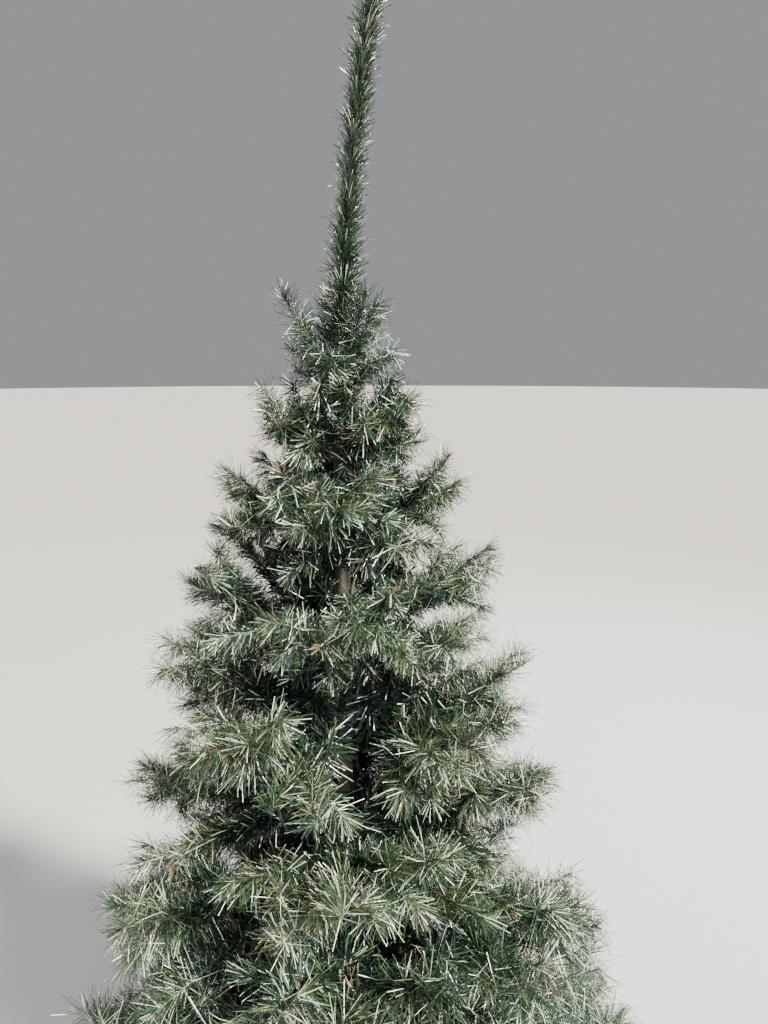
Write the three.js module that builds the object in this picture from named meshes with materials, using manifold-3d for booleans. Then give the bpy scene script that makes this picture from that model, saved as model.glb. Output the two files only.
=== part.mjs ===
// An artificial Christmas tree on its steel stand, in millimetres, +Z up.
// The origin is on the floor under the middle of the pole, and +X is to the viewer's right.
// Bearings are degrees anticlockwise from +X, so the viewer stands at bearing 270.
import * as THREE from "three";
import { mergeVertices } from "three/addons/utils/BufferGeometryUtils.js";
import Module from "manifold-3d";

const wasm = await Module();
wasm.setup();

// Clearance between neighbouring pieces, and the size of the slivers cleared after fusing.
const GAP = 0.3;
const SLIVER = 0.02;

// The pole is two steel tubes, the upper one plugged into the lower one.
const LOWER_POLE_RADIUS = 11;
const UPPER_POLE_RADIUS = 9.5;
const POLE_SPLIT_HEIGHT = 850;
const POLE_TOP_HEIGHT = 1312;
const SPIGOT_RADIUS = 8.5;
const SPIGOT_LENGTH = 45;
const POLE_SIDES = 16;
const POLE_EDGE = 2; // the rounding of its top

// Each tier of branches hangs in a collar on the pole.
const COLLAR_RADIUS = 17;
const COLLAR_HALF_HEIGHT = 7;
const COLLAR_BEVEL = 2.5;

// The leader is the bottle brush that ends the tree.
const TREE_HEIGHT = 1800;
const LEADER_LEAN = 0.00019; // millimetres to the right for each square millimetre of rise
const LEADER_CORE = 5;
const LEADER_NEEDLE = 42;
const LEADER_SPREAD_DEG = 20;
const LEADER_SKIRT_DEG = 18; // its needles stand out by this much more at its foot
const LEADER_SKIRT_HEIGHT = 130;
const LEADER_PITCH = 30;
const LEADER_ROOM = 31; // the radius about the axis that the top tier leaves free
const LEADER_BARE = 4;

// Tiers from the lowest up: height of the collar, number of branches, bearing of the first one,
// reach of the needle tips from the pole, rise of the branch, side twigs on each branch,
// fan of those twigs above and below it, bare start of the branch, and pitch of its needle sprays.
const TIERS = [
  { height: 270, count: 5, bearing: 18, reach: 492, rise: 7, twigs: 6, fan: 10, bare: 20, pitch: 63 },
  { height: 400, count: 5, bearing: 54, reach: 428, rise: 9, twigs: 5, fan: 12, bare: 44, pitch: 61 },
  { height: 530, count: 5, bearing: 16, reach: 372, rise: 11, twigs: 5, fan: 13, bare: 44, pitch: 59 },
  { height: 660, count: 5, bearing: 50, reach: 330, rise: 12, twigs: 5, fan: 14, bare: 44, pitch: 56 },
  { height: 790, count: 4, bearing: 355, reach: 292, rise: 14, twigs: 5, fan: 15, bare: 44, pitch: 52 },
  { height: 920, count: 4, bearing: 52, reach: 262, rise: 18, twigs: 5, fan: 16, bare: 36, pitch: 49 },
  { height: 1050, count: 4, bearing: 8, reach: 216, rise: 23, twigs: 5, fan: 18, bare: 30, pitch: 44 },
  { height: 1168, count: 4, bearing: 355, reach: 172, rise: 28, twigs: 5, fan: 20, bare: 18, pitch: 41 },
  { height: 1272, count: 4, bearing: 40, reach: 128, rise: 29, twigs: 4, fan: 22, bare: 12, pitch: 37 },
];

// Short twigs stand round the foot of the leader, as one more tier that is fused to it. They rise
// by turns more and less than the tier does.
const LEADER_TIER = { height: 1356, count: 8, bearing: 20, reach: 110, rise: 46, pitch: 34 };
const LEADER_TIER_STEEPER_DEG = 5;
const LEADER_TIER_FLATTER_DEG = 20;

// Bare boughs carry the masses of the lowest tier.
const BOUGH_TIERS = 1;
const BOUGH_END = 108;
const BOUGH_ROOT_RADIUS = 4.2;
const BOUGH_TIP_RADIUS = 2.6;
const FERRULE_RADIUS = 5.4;
const FERRULE_LENGTH = 16;
const FERRULE_TAPER = 2;
const BOUGH_SIDES = 7;

// Twigs are wires that curl up a little, with needles all round.
const STEM_CURL = 0.06; // rise at the tip as a share of the reach
const STEM_CORE = 4.6;
const TWIG_CORE = 3.8;
const CORE_TAPER = 0.35;
const NEEDLE_LENGTH = 42;
const NEEDLE_SPREAD_DEG = 55;
const TIP_NEEDLE = 36;
const NEEDLE_UNEVENNESS = 0.12;
const NEEDLE_SWAY = 0.2;
const SHORTEST_NEEDLE = 0.3; // as a share of the needle length
const NEEDLE_SHRINK = 0.82; // each try at a spray that would leave its space
const HELIX_STEP_DEG = 132; // from one spray to the next round the twig
const BARE_TWIG = 10;
const SHORTEST_TWIG = 34;
const GROWTH_STEP = 4;

// Side twigs leave the stem at a wide angle near the pole and a narrower one near the tip.
const FIRST_TWIG_AT = 0.14;
const LAST_TWIG_AT = 0.7;
const WIDE_SPLAY_DEG = 48;
const NARROW_SPLAY_DEG = 26;
const TWIG_SWEEP = 0.00015; // upward bend of a side twig, per millimetre

// How far the branches of a tier differ from each other.
const BEARING_SWAY_DEG = 4;
const RISE_SWAY_DEG = 1.5;
const REACH_SHARE = 0.975;
const REACH_SWAY = 0.02;
const TWIG_PLACE_SWAY = 0.03;
const SPLAY_SWAY_DEG = 5;
const LIFT_SWAY_DEG = 4;
const TWIG_SHARE = 0.96;
const TWIG_SWAY = 0.04;

// Seeds of the repeatable rule.
const BRANCH_SEED = 7949;
const BRANCH_STRIDE = 104729;
const NEEDLE_SEED = 15486221;
const NEEDLE_STRIDE = 32452843;
const LEADER_SEED = 49979687;

// Clearances inside the space that a mass keeps to.
const WEDGE_CLEARANCE = 8;
const LEVEL_CLEARANCE = 8;
const NEEDLE_CLEARANCE = 1.6;
const TIER_HALF_SPACING = 66;

// The stand: a socket tube, four channel legs with plastic caps, and three thumbscrews.
const SOCKET_RADIUS = 16;
const SOCKET_BORE = LOWER_POLE_RADIUS + GAP;
const SOCKET_BOTTOM = 30;
const SOCKET_FLOOR = 4;
const SOCKET_TOP = 150;
const SOCKET_SIDES = 16;
const SOCKET_RIM = 2; // both the slope and half the height of the rolled rim
const LEG_COUNT = 4;
const LEG_BEARING = 45;
const LEG_REACH = 246;
const LEG_WIDTH = 22;
const LEG_WALL = 2;
const LEG_ROOT_TOP = 84;
const LEG_ROOT_BOTTOM = 52;
const LEG_FOOT_TOP = 15;
const LEG_FOOT_BOTTOM = 4.3;
const LEG_SHOULDER = 20;
const LEG_OPEN_DEPTH = 30;
const CAP_LENGTH = 40;
const CAP_WIDTH = 30;
const CAP_HEIGHT = 20;
const CAP_OVERHANG = 5;
const CAP_CORNER = 5;
const SCREW_COUNT = 3;
const SCREW_BEARING = 90;
const SCREW_HEIGHT = 118;
const SCREW_RADIUS = 3;
const SCREW_LENGTH = 34;
const SCREW_SIDES = 8;
const SCREW_COLLAR = 2;
const SCREW_COLLAR_LENGTH = 4;
const SCREW_POINT = 1;
const WING_WIDTH = 26;
const WING_HEIGHT = 13;
const WING_THICKNESS = 3.2;
const WING_SINK = 2; // how deep the wing sits in the screw's head

const UP = new THREE.Vector3(0, 0, 1);
const RIGHT = new THREE.Vector3(1, 0, 0);

const radians = THREE.MathUtils.degToRad;

// Materials
const steelBrown = new THREE.MeshStandardMaterial({ color: "#5f4630", roughness: 0.5, metalness: 0.3 });
const steelGreen = new THREE.MeshStandardMaterial({ color: "#24382b", roughness: 0.45, metalness: 0.4 });
const plasticBlack = new THREE.MeshStandardMaterial({ color: "#1d1f1e", roughness: 0.6, metalness: 0 });
const zincSteel = new THREE.MeshStandardMaterial({ color: "#a9adb0", roughness: 0.35, metalness: 0.9 });
const wireBrown = new THREE.MeshStandardMaterial({ color: "#54402c", roughness: 0.6, metalness: 0.2 });
const needleGreens = ["#1f3a2c", "#2c4a38", "#4b5138"].map(
  (color) => new THREE.MeshStandardMaterial({ color, roughness: 0.45, metalness: 0 }),
);

// A repeatable stream of numbers from 0 to 1.
function seededChance(seed) {
  let state = seed >>> 0;
  return () => {
    state = (Math.imul(state, 1664525) + 1013904223) >>> 0;
    return state / 4294967296;
  };
}

function around(chance, middle, spread) {
  return middle + spread * (2 * chance() - 1);
}

// A closed solid from the triangles of a geometry.
function solidOf(geometry) {
  const bare = geometry.index ? geometry.toNonIndexed() : geometry.clone();
  bare.deleteAttribute("normal");
  bare.deleteAttribute("uv");
  const merged = mergeVertices(bare, 1e-3);
  const corners = merged.index.array;
  const kept = [];
  for (let i = 0; i < corners.length; i += 3) {
    const [a, b, c] = corners.slice(i, i + 3);
    if (a !== b && b !== c && c !== a) kept.push(a, b, c);
  }
  return new wasm.Manifold(
    new wasm.Mesh({
      numProp: 3,
      vertProperties: merged.attributes.position.array,
      triVerts: new Uint32Array(kept),
    }),
  );
}

// The largest body of a fused solid, without the slivers and loose scraps that fusing thin sprays leaves.
function mainBody(solid) {
  const bodies = solid.simplify(SLIVER).decompose();
  return bodies.reduce((best, one) => (one.volume() > best.volume() ? one : best));
}

function geometryOf(solid) {
  const mesh = solid.getMesh();
  const geometry = new THREE.BufferGeometry();
  const places = new Float32Array(mesh.numVert * 3);
  for (let i = 0; i < mesh.numVert; i++) {
    places.set(mesh.vertProperties.subarray(i * mesh.numProp, i * mesh.numProp + 3), i * 3);
  }
  geometry.setAttribute("position", new THREE.BufferAttribute(places, 3));
  geometry.setIndex(new THREE.BufferAttribute(new Uint32Array(mesh.triVerts), 1));
  geometry.computeVertexNormals();
  return geometry;
}

function named(name, solid, material) {
  const mesh = new THREE.Mesh(geometryOf(solid), material);
  mesh.name = name;
  return mesh;
}

// A turned piece about +Z, from [radius, height] pairs that start and end on the axis or close.
function turned(profile, sides) {
  const points = profile.map(([radius, height]) => new THREE.Vector2(radius, height));
  const geometry = new THREE.LatheGeometry(points, sides);
  geometry.rotateX(Math.PI / 2);
  const solid = solidOf(geometry);
  return solid.volume() > 0 ? solid : turned([...profile].reverse(), sides);
}

// An outline in the XZ plane, drawn out across Y by a width about its middle.
function slab(outline, width) {
  const shape = new THREE.Shape(outline.map(([x, z]) => new THREE.Vector2(x, z)));
  const geometry = new THREE.ExtrudeGeometry(shape, { depth: width, bevelEnabled: false });
  geometry.rotateX(Math.PI / 2);
  geometry.translate(0, width / 2, 0);
  return solidOf(geometry);
}

// The height of a tier's branches at a distance from the pole.
function tierSurface(tier, radius) {
  const straight = (radius - COLLAR_RADIUS) * Math.tan(radians(tier.rise));
  const curled = (STEM_CURL * Math.min(radius, tier.reach) ** 2) / tier.reach;
  return tier.height + straight + curled;
}

// The space of one mass: a wedge about its bearing, between the surfaces half-way to the next tiers.
class Space {
  constructor(level, index) {
    this.tier = TIERS[level];
    this.below = TIERS[level - 1];
    this.above = TIERS[level + 1] ?? LEADER_TIER;
    this.bearing = radians(this.tier.bearing + (360 * index) / this.tier.count);
    this.halfAngle = Math.PI / this.tier.count;
  }

  floor(radius) {
    const own = tierSurface(this.tier, radius);
    return this.below ? (own + tierSurface(this.below, radius)) / 2 : own - TIER_HALF_SPACING;
  }

  ceiling(radius) {
    return (tierSurface(this.tier, radius) + tierSurface(this.above, radius)) / 2;
  }

  holds(point, sideways, upright) {
    const radius = Math.hypot(point.x, point.y);
    const turn = Math.atan2(point.y, point.x) - this.bearing;
    const off = Math.abs(Math.atan2(Math.sin(turn), Math.cos(turn)));
    const room = off < this.halfAngle ? radius * Math.sin(Math.min(this.halfAngle - off, Math.PI / 2)) : -1;
    const core = point.z > POLE_TOP_HEIGHT - COLLAR_HALF_HEIGHT ? LEADER_ROOM : COLLAR_RADIUS;
    return (
      room > sideways &&
      radius > core + upright &&
      radius < this.tier.reach &&
      point.z > this.floor(radius) + upright &&
      point.z < this.ceiling(radius) - upright
    );
  }
}

function mix(first, last, share) {
  return first + (last - first) * share;
}

function bearingPoint(bearing, radius, height) {
  return new THREE.Vector3(radius * Math.cos(bearing), radius * Math.sin(bearing), height);
}

function pointAlong(twig, distance) {
  return twig.start
    .clone()
    .addScaledVector(twig.heading, distance)
    .addScaledVector(twig.bend, distance * distance);
}

// The stem of a branch and its side twigs, grown by the seeded rule inside their space.
function branchTwigs(level, index) {
  const tier = TIERS[level];
  const space = new Space(level, index);
  const chance = seededChance(BRANCH_SEED * (level + 1) + BRANCH_STRIDE * (index + 1));
  const bearing = space.bearing + radians(around(chance, 0, BEARING_SWAY_DEG));
  const rise = radians(tier.rise + around(chance, 0, RISE_SWAY_DEG));
  const crown = tier.reach * around(chance, REACH_SHARE, REACH_SWAY) - TIP_NEEDLE;
  const root = level < BOUGH_TIERS ? BOUGH_END : COLLAR_RADIUS + GAP + STEM_CORE * Math.sin(rise);
  const stem = {
    start: bearingPoint(bearing, root, tier.height + (root - COLLAR_RADIUS) * Math.tan(rise)),
    heading: bearingPoint(bearing, Math.cos(rise), Math.sin(rise)),
    bend: UP.clone().multiplyScalar(STEM_CURL / tier.reach),
    length: (crown - root) / Math.cos(rise),
    bare: tier.bare,
    core: STEM_CORE,
  };
  const twigs = [stem];
  for (let k = 0; k < tier.twigs; k++) {
    const share = k / (tier.twigs - 1);
    const hand = (k + index) % 2 ? 1 : -1;
    const storey = ((k + index) % 3) - 1;
    const place = mix(FIRST_TWIG_AT, LAST_TWIG_AT, share) + around(chance, 0, TWIG_PLACE_SWAY);
    const splay = radians(mix(WIDE_SPLAY_DEG, NARROW_SPLAY_DEG, share) + around(chance, 0, SPLAY_SWAY_DEG));
    const lift = radians(tier.fan * storey + around(chance, 0, LIFT_SWAY_DEG));
    const heading = stem.heading.clone().applyAxisAngle(UP, hand * splay);
    const twig = {
      start: pointAlong(stem, stem.length * place),
      heading: heading.addScaledVector(UP, Math.tan(lift)).normalize(),
      bend: UP.clone().multiplyScalar(TWIG_SWEEP),
      length: 0,
      bare: BARE_TWIG,
      core: TWIG_CORE,
    };
    twig.length = roomAlong(twig, space, crown) * around(chance, TWIG_SHARE, TWIG_SWAY);
    if (twig.length >= SHORTEST_TWIG) twigs.push(twig);
  }
  return { space, twigs };
}

// How far a twig can grow before it would leave its space or the crown.
function roomAlong(twig, space, crown) {
  let length = GROWTH_STEP;
  for (;;) {
    const next = pointAlong(twig, length + GROWTH_STEP);
    if (Math.hypot(next.x, next.y) > crown) return length;
    if (!space.holds(next, WEDGE_CLEARANCE, LEVEL_CLEARANCE)) return length;
    length += GROWTH_STEP;
  }
}

// One twig: a slim core with leaning sprays of needles on a helix round it, and a tuft at its end.
// Corner k of the core is one step of the helix on from corner k - 1, and a spray stands on the
// four corners k, k + 1, k + 4 and k + 3, so three sprays go round the twig in about one pitch.
function brush(twig, style, chance) {
  const upright = Math.hypot(twig.heading.x, twig.heading.y) < 0.1;
  const across = (upright ? RIGHT : UP).clone().cross(twig.heading).normalize();
  const crest = twig.heading.clone().cross(across);
  const rise = style.pitch / 3;
  const sprays = Math.max(3, Math.round((twig.length - twig.bare) / rise));
  const step = radians(HELIX_STEP_DEG);
  const roll = Math.PI / 2;
  const distanceOf = (k) => (k < 3 ? 0 : twig.bare + ((twig.length - twig.bare) * (k - 3)) / sprays);
  const places = [];
  const triangles = [];
  const spoke = (distance, angle, radius) =>
    pointAlong(twig, distance)
      .addScaledVector(across, radius * Math.cos(angle))
      .addScaledVector(crest, radius * Math.sin(angle));
  const add = (point) => places.push(point.x, point.y, point.z) / 3 - 1;
  for (let k = 0; k < sprays + 4; k++) {
    const distance = distanceOf(k);
    add(spoke(distance, roll + k * step, twig.core * (1 - (CORE_TAPER * distance) / twig.length)));
  }
  triangles.push(2, 1, 0, 3, 2, 0);
  for (let k = 0; k < sprays; k++) {
    const [a, b, c, d] = [k, k + 1, k + 4, k + 3];
    const middle = (distanceOf(a) + distanceOf(b) + distanceOf(c) + distanceOf(d)) / 4;
    const angle = roll + (k + 2) * step - Math.PI + around(chance, 0, NEEDLE_SWAY);
    const size = around(chance, 1, NEEDLE_UNEVENNESS);
    const apex = k > 2 ? needlePoint(spoke, style, middle, angle, size) : null;
    if (apex) {
      const top = add(apex);
      triangles.push(a, b, top, b, c, top, c, d, top, d, a, top);
    } else {
      triangles.push(a, b, d, b, c, d);
    }
  }
  const end = add(tuftPoint(twig, style));
  const rim = [sprays, sprays + 1, sprays + 2, sprays + 3];
  rim.forEach((corner, i) => triangles.push(corner, rim[(i + 1) % 4], end));
  const geometry = new THREE.BufferGeometry();
  geometry.setAttribute("position", new THREE.BufferAttribute(new Float32Array(places), 3));
  geometry.setIndex(triangles);
  return solidOf(geometry);
}

// The point of a spray of needles, drawn in until it is inside the space, or nothing.
function needlePoint(spoke, style, middle, angle, size) {
  for (let share = size; share > SHORTEST_NEEDLE; share *= NEEDLE_SHRINK) {
    const slant = radians(style.spread(middle));
    const point = spoke(
      middle + style.needle * share * Math.cos(slant),
      angle,
      style.needle * share * Math.sin(slant),
    );
    if (style.holds(point)) return point;
  }
  return null;
}

// The point of the tuft at a twig's end, drawn in the same way.
function tuftPoint(twig, style) {
  let share = 1;
  while (share > SHORTEST_NEEDLE && !style.holds(pointAlong(twig, twig.length + style.tuft * share))) {
    share *= NEEDLE_SHRINK;
  }
  return pointAlong(twig, twig.length + style.tuft * share);
}

function foliageMass(level, index) {
  const { space, twigs } = branchTwigs(level, index);
  const style = {
    pitch: TIERS[level].pitch,
    needle: NEEDLE_LENGTH,
    spread: () => NEEDLE_SPREAD_DEG,
    tuft: TIP_NEEDLE,
    holds: (point) => space.holds(point, NEEDLE_CLEARANCE, NEEDLE_CLEARANCE),
  };
  const chance = seededChance(NEEDLE_SEED * (level + 1) + NEEDLE_STRIDE * (index + 1));
  const solid = twigs.map((twig) => brush(twig, style, chance)).reduce((all, one) => all.add(one));
  const tint = Math.floor(needleGreens.length * chance());
  return named(`foliage_tier${level + 1}_${index + 1}`, mainBody(solid), needleGreens[tint]);
}

function bough(level, index) {
  const stem = branchTwigs(level, index).twigs[0];
  const slope = stem.heading;
  const flat = Math.hypot(slope.x, slope.y);
  const root = COLLAR_RADIUS + GAP + FERRULE_RADIUS * slope.z;
  const length = (BOUGH_END - root) / flat - GAP;
  const shape = turned(
    [
      [0, 0],
      [FERRULE_RADIUS, 0],
      [FERRULE_RADIUS, FERRULE_LENGTH],
      [BOUGH_ROOT_RADIUS, FERRULE_LENGTH + FERRULE_TAPER],
      [BOUGH_TIP_RADIUS, length],
      [0, length],
    ],
    BOUGH_SIDES,
  );
  const mesh = named(`bough_tier${level + 1}_${index + 1}`, shape, wireBrown);
  mesh.quaternion.setFromUnitVectors(UP, slope);
  mesh.position.copy(stem.start).addScaledVector(slope, -(length + GAP));
  return mesh;
}

// The collar of a tier, as steps of the pole's profile from its bottom up.
function collarSteps(tier, poleRadius) {
  return [
    [poleRadius, tier.height - COLLAR_HALF_HEIGHT - COLLAR_BEVEL],
    [COLLAR_RADIUS, tier.height - COLLAR_HALF_HEIGHT],
    [COLLAR_RADIUS, tier.height + COLLAR_HALF_HEIGHT],
    [poleRadius, tier.height + COLLAR_HALF_HEIGHT + COLLAR_BEVEL],
  ];
}

function lowerPole() {
  const bottom = SOCKET_BOTTOM + SOCKET_FLOOR + GAP;
  const bore = SPIGOT_RADIUS + GAP;
  const boreFloor = POLE_SPLIT_HEIGHT - SPIGOT_LENGTH - GAP;
  const tiers = TIERS.filter((tier) => tier.height < POLE_SPLIT_HEIGHT);
  return turned(
    [
      [0, bottom],
      [LOWER_POLE_RADIUS, bottom],
      ...tiers.flatMap((tier) => collarSteps(tier, LOWER_POLE_RADIUS)),
      [LOWER_POLE_RADIUS, POLE_SPLIT_HEIGHT],
      [bore, POLE_SPLIT_HEIGHT],
      [bore, boreFloor],
      [0, boreFloor],
    ],
    POLE_SIDES,
  );
}

function upperPole() {
  const seat = POLE_SPLIT_HEIGHT + GAP;
  const tiers = TIERS.filter((tier) => tier.height > POLE_SPLIT_HEIGHT);
  return turned(
    [
      [0, seat - SPIGOT_LENGTH],
      [SPIGOT_RADIUS, seat - SPIGOT_LENGTH],
      [SPIGOT_RADIUS, seat],
      [UPPER_POLE_RADIUS, seat],
      ...tiers.flatMap((tier) => collarSteps(tier, UPPER_POLE_RADIUS)),
      [UPPER_POLE_RADIUS, POLE_TOP_HEIGHT - POLE_EDGE],
      [UPPER_POLE_RADIUS - POLE_EDGE, POLE_TOP_HEIGHT],
      [0, POLE_TOP_HEIGHT],
    ],
    POLE_SIDES,
  );
}

// The short twigs round the leader's foot, which stay above the space of the top tier.
function leaderTwigs(chance) {
  const tier = LEADER_TIER;
  const top = TIERS[TIERS.length - 1];
  const aboveTopTier = (point) => {
    const radius = Math.hypot(point.x, point.y);
    const border = (tierSurface(tier, radius) + tierSurface(top, radius)) / 2;
    return radius < LEADER_ROOM - NEEDLE_CLEARANCE || point.z > border + NEEDLE_CLEARANCE;
  };
  const twigs = [];
  for (let k = 0; k < tier.count; k++) {
    const bearing = radians(tier.bearing + (360 * k) / tier.count + around(chance, 0, 2 * BEARING_SWAY_DEG));
    const turn = k % 2 ? -LEADER_TIER_FLATTER_DEG : LEADER_TIER_STEEPER_DEG;
    const rise = radians(tier.rise + turn + around(chance, 0, 2 * RISE_SWAY_DEG));
    twigs.push({
      start: bearingPoint(0, 0, tier.height),
      heading: bearingPoint(bearing, Math.cos(rise), Math.sin(rise)),
      bend: UP.clone().multiplyScalar(STEM_CURL / tier.reach),
      length: ((tier.reach - TIP_NEEDLE) / Math.cos(rise)) * around(chance, TWIG_SHARE, TWIG_SWAY),
      bare: BARE_TWIG,
      core: TWIG_CORE,
    });
  }
  return { twigs, aboveTopTier };
}

function leader() {
  const chance = seededChance(LEADER_SEED);
  const start = new THREE.Vector3(0, 0, POLE_TOP_HEIGHT + GAP);
  const stem = {
    start,
    heading: UP.clone(),
    bend: RIGHT.clone().multiplyScalar(LEADER_LEAN),
    length: TREE_HEIGHT - TIP_NEEDLE - start.z,
    bare: LEADER_BARE,
    core: LEADER_CORE,
  };
  const stemStyle = {
    pitch: LEADER_PITCH,
    needle: LEADER_NEEDLE,
    spread: (distance) =>
      LEADER_SPREAD_DEG + LEADER_SKIRT_DEG * Math.exp(-((distance / LEADER_SKIRT_HEIGHT) ** 4)),
    tuft: TIP_NEEDLE,
    holds: () => true,
  };
  const { twigs, aboveTopTier } = leaderTwigs(chance);
  const twigStyle = {
    pitch: LEADER_TIER.pitch,
    needle: NEEDLE_LENGTH,
    spread: () => NEEDLE_SPREAD_DEG,
    tuft: TIP_NEEDLE,
    holds: aboveTopTier,
  };
  const solid = twigs.reduce(
    (all, twig) => all.add(brush(twig, twigStyle, chance)),
    brush(stem, stemStyle, chance),
  );
  return named("leader", mainBody(solid), needleGreens[1]);
}

function socket() {
  const wall = turned(
    [
      [0, SOCKET_BOTTOM],
      [SOCKET_RADIUS, SOCKET_BOTTOM],
      [SOCKET_RADIUS, SOCKET_TOP - 4 * SOCKET_RIM],
      [SOCKET_RADIUS + SOCKET_RIM, SOCKET_TOP - 3 * SOCKET_RIM],
      [SOCKET_RADIUS + SOCKET_RIM, SOCKET_TOP - SOCKET_RIM],
      [SOCKET_RADIUS, SOCKET_TOP],
      [SOCKET_BORE, SOCKET_TOP],
      [SOCKET_BORE, SOCKET_BOTTOM + SOCKET_FLOOR],
      [0, SOCKET_BOTTOM + SOCKET_FLOOR],
    ],
    SOCKET_SIDES,
  );
  const hole = new THREE.CylinderGeometry(SCREW_RADIUS + GAP, SCREW_RADIUS + GAP, SOCKET_RADIUS, SCREW_SIDES);
  hole.rotateZ(Math.PI / 2);
  hole.translate(SOCKET_RADIUS, 0, SCREW_HEIGHT);
  let pierced = wall;
  for (let k = 0; k < SCREW_COUNT; k++) {
    const bearing = SCREW_BEARING + (360 * k) / SCREW_COUNT;
    pierced = pierced.subtract(solidOf(hole.clone().rotateZ(radians(bearing))));
  }
  return pierced;
}

// A pressed channel, open below, that tapers from the socket to the foot.
function leg() {
  const root = SOCKET_RADIUS + GAP;
  const knee = LEG_REACH - CAP_LENGTH;
  const outside = slab(
    [
      [root, LEG_ROOT_BOTTOM],
      [knee, LEG_FOOT_BOTTOM],
      [LEG_REACH, LEG_FOOT_BOTTOM],
      [LEG_REACH, LEG_FOOT_TOP],
      [knee, LEG_FOOT_TOP],
      [root + LEG_SHOULDER, LEG_ROOT_TOP],
      [root, LEG_ROOT_TOP],
    ],
    LEG_WIDTH,
  );
  const inside = slab(
    [
      [root + LEG_WALL, LEG_ROOT_BOTTOM - LEG_OPEN_DEPTH],
      [LEG_REACH - LEG_WALL, LEG_FOOT_BOTTOM - LEG_OPEN_DEPTH],
      [LEG_REACH - LEG_WALL, LEG_FOOT_TOP - LEG_WALL],
      [knee, LEG_FOOT_TOP - LEG_WALL],
      [root + LEG_SHOULDER, LEG_ROOT_TOP - LEG_WALL],
      [root + LEG_WALL, LEG_ROOT_TOP - LEG_WALL],
    ],
    LEG_WIDTH - 2 * LEG_WALL,
  );
  return outside.subtract(inside);
}

// A moulded cap with a flat underside and a pocket for the end of the leg.
function footCap() {
  const shape = new THREE.Shape();
  const half = CAP_WIDTH / 2;
  const start = LEG_REACH + CAP_OVERHANG - CAP_LENGTH;
  const end = LEG_REACH + CAP_OVERHANG;
  shape.moveTo(start, -half);
  shape.lineTo(end - CAP_CORNER, -half);
  shape.quadraticCurveTo(end, -half, end, CAP_CORNER - half);
  shape.lineTo(end, half - CAP_CORNER);
  shape.quadraticCurveTo(end, half, end - CAP_CORNER, half);
  shape.lineTo(start, half);
  const block = solidOf(
    new THREE.ExtrudeGeometry(shape, { depth: CAP_HEIGHT, bevelEnabled: false, curveSegments: 4 }),
  );
  const pocket = slab(
    [
      [start - 1, LEG_FOOT_BOTTOM - GAP],
      [LEG_REACH + GAP, LEG_FOOT_BOTTOM - GAP],
      [LEG_REACH + GAP, LEG_FOOT_TOP + GAP],
      [start - 1, LEG_FOOT_TOP + GAP],
    ],
    LEG_WIDTH + 2 * GAP,
  );
  return block.subtract(pocket);
}

// A thumbscrew that lies along +X, its point against the pole and its wing outside.
function thumbscrew() {
  const tip = LOWER_POLE_RADIUS + GAP;
  const head = tip + SCREW_LENGTH;
  const shank = turned(
    [
      [0, tip],
      [SCREW_RADIUS - SCREW_POINT, tip],
      [SCREW_RADIUS, tip + SCREW_POINT],
      [SCREW_RADIUS, head - SCREW_COLLAR_LENGTH - SCREW_POINT],
      [SCREW_RADIUS + SCREW_COLLAR, head - SCREW_COLLAR_LENGTH],
      [SCREW_RADIUS + SCREW_COLLAR, head],
      [0, head],
    ],
    SCREW_SIDES,
  );
  const wing = new THREE.Shape();
  wing.absellipse(0, 0, WING_WIDTH / 2, WING_HEIGHT / 2, 0, 2 * Math.PI, false, 0);
  const plate = new THREE.ExtrudeGeometry(wing, {
    depth: WING_THICKNESS,
    bevelEnabled: false,
    curveSegments: 5,
  });
  plate.rotateX(Math.PI / 2);
  plate.translate(0, WING_THICKNESS / 2, head + WING_HEIGHT / 2 - WING_SINK);
  const upright = geometryOf(shank.add(solidOf(plate)));
  upright.rotateY(Math.PI / 2);
  upright.translate(0, 0, SCREW_HEIGHT);
  return solidOf(upright);
}

const tree = new THREE.Group();
tree.add(named("pole_lower", lowerPole(), steelBrown));
tree.add(named("pole_upper", upperPole(), steelBrown));
tree.add(leader());

TIERS.forEach((tier, level) => {
  for (let index = 0; index < tier.count; index++) {
    tree.add(foliageMass(level, index));
    if (level < BOUGH_TIERS) tree.add(bough(level, index));
  }
});

const stand = new THREE.Group();
stand.add(named("stand_socket", socket(), steelGreen));
for (let k = 0; k < LEG_COUNT; k++) {
  const arm = new THREE.Group();
  arm.rotation.z = radians(LEG_BEARING + (360 * k) / LEG_COUNT);
  arm.add(named(`stand_leg_${k + 1}`, leg(), steelGreen));
  arm.add(named(`foot_cap_${k + 1}`, footCap(), plasticBlack));
  stand.add(arm);
}
for (let k = 0; k < SCREW_COUNT; k++) {
  const screw = named(`thumbscrew_${k + 1}`, thumbscrew(), zincSteel);
  screw.rotation.z = radians(SCREW_BEARING + (360 * k) / SCREW_COUNT);
  stand.add(screw);
}
tree.add(stand);

export default tree;
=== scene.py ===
"""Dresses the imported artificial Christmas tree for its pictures.

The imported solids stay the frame. Their masses of foliage give way to wire twigs with
cut plastic needles, which grow by the rule of the part's source, repeated here and
carried to finer twigs. The pole, its collars and the stand get their finer shapes.
Lengths are in millimetres until a mesh is made. Bearings are degrees anticlockwise
from +X, so the viewer stands at bearing 270.
"""

import logging
import math
from collections.abc import Callable, Iterable, Sequence
from dataclasses import dataclass, field
from enum import Enum
from typing import ClassVar

import bpy
import numpy as np
from mathutils import Matrix, Vector


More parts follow.
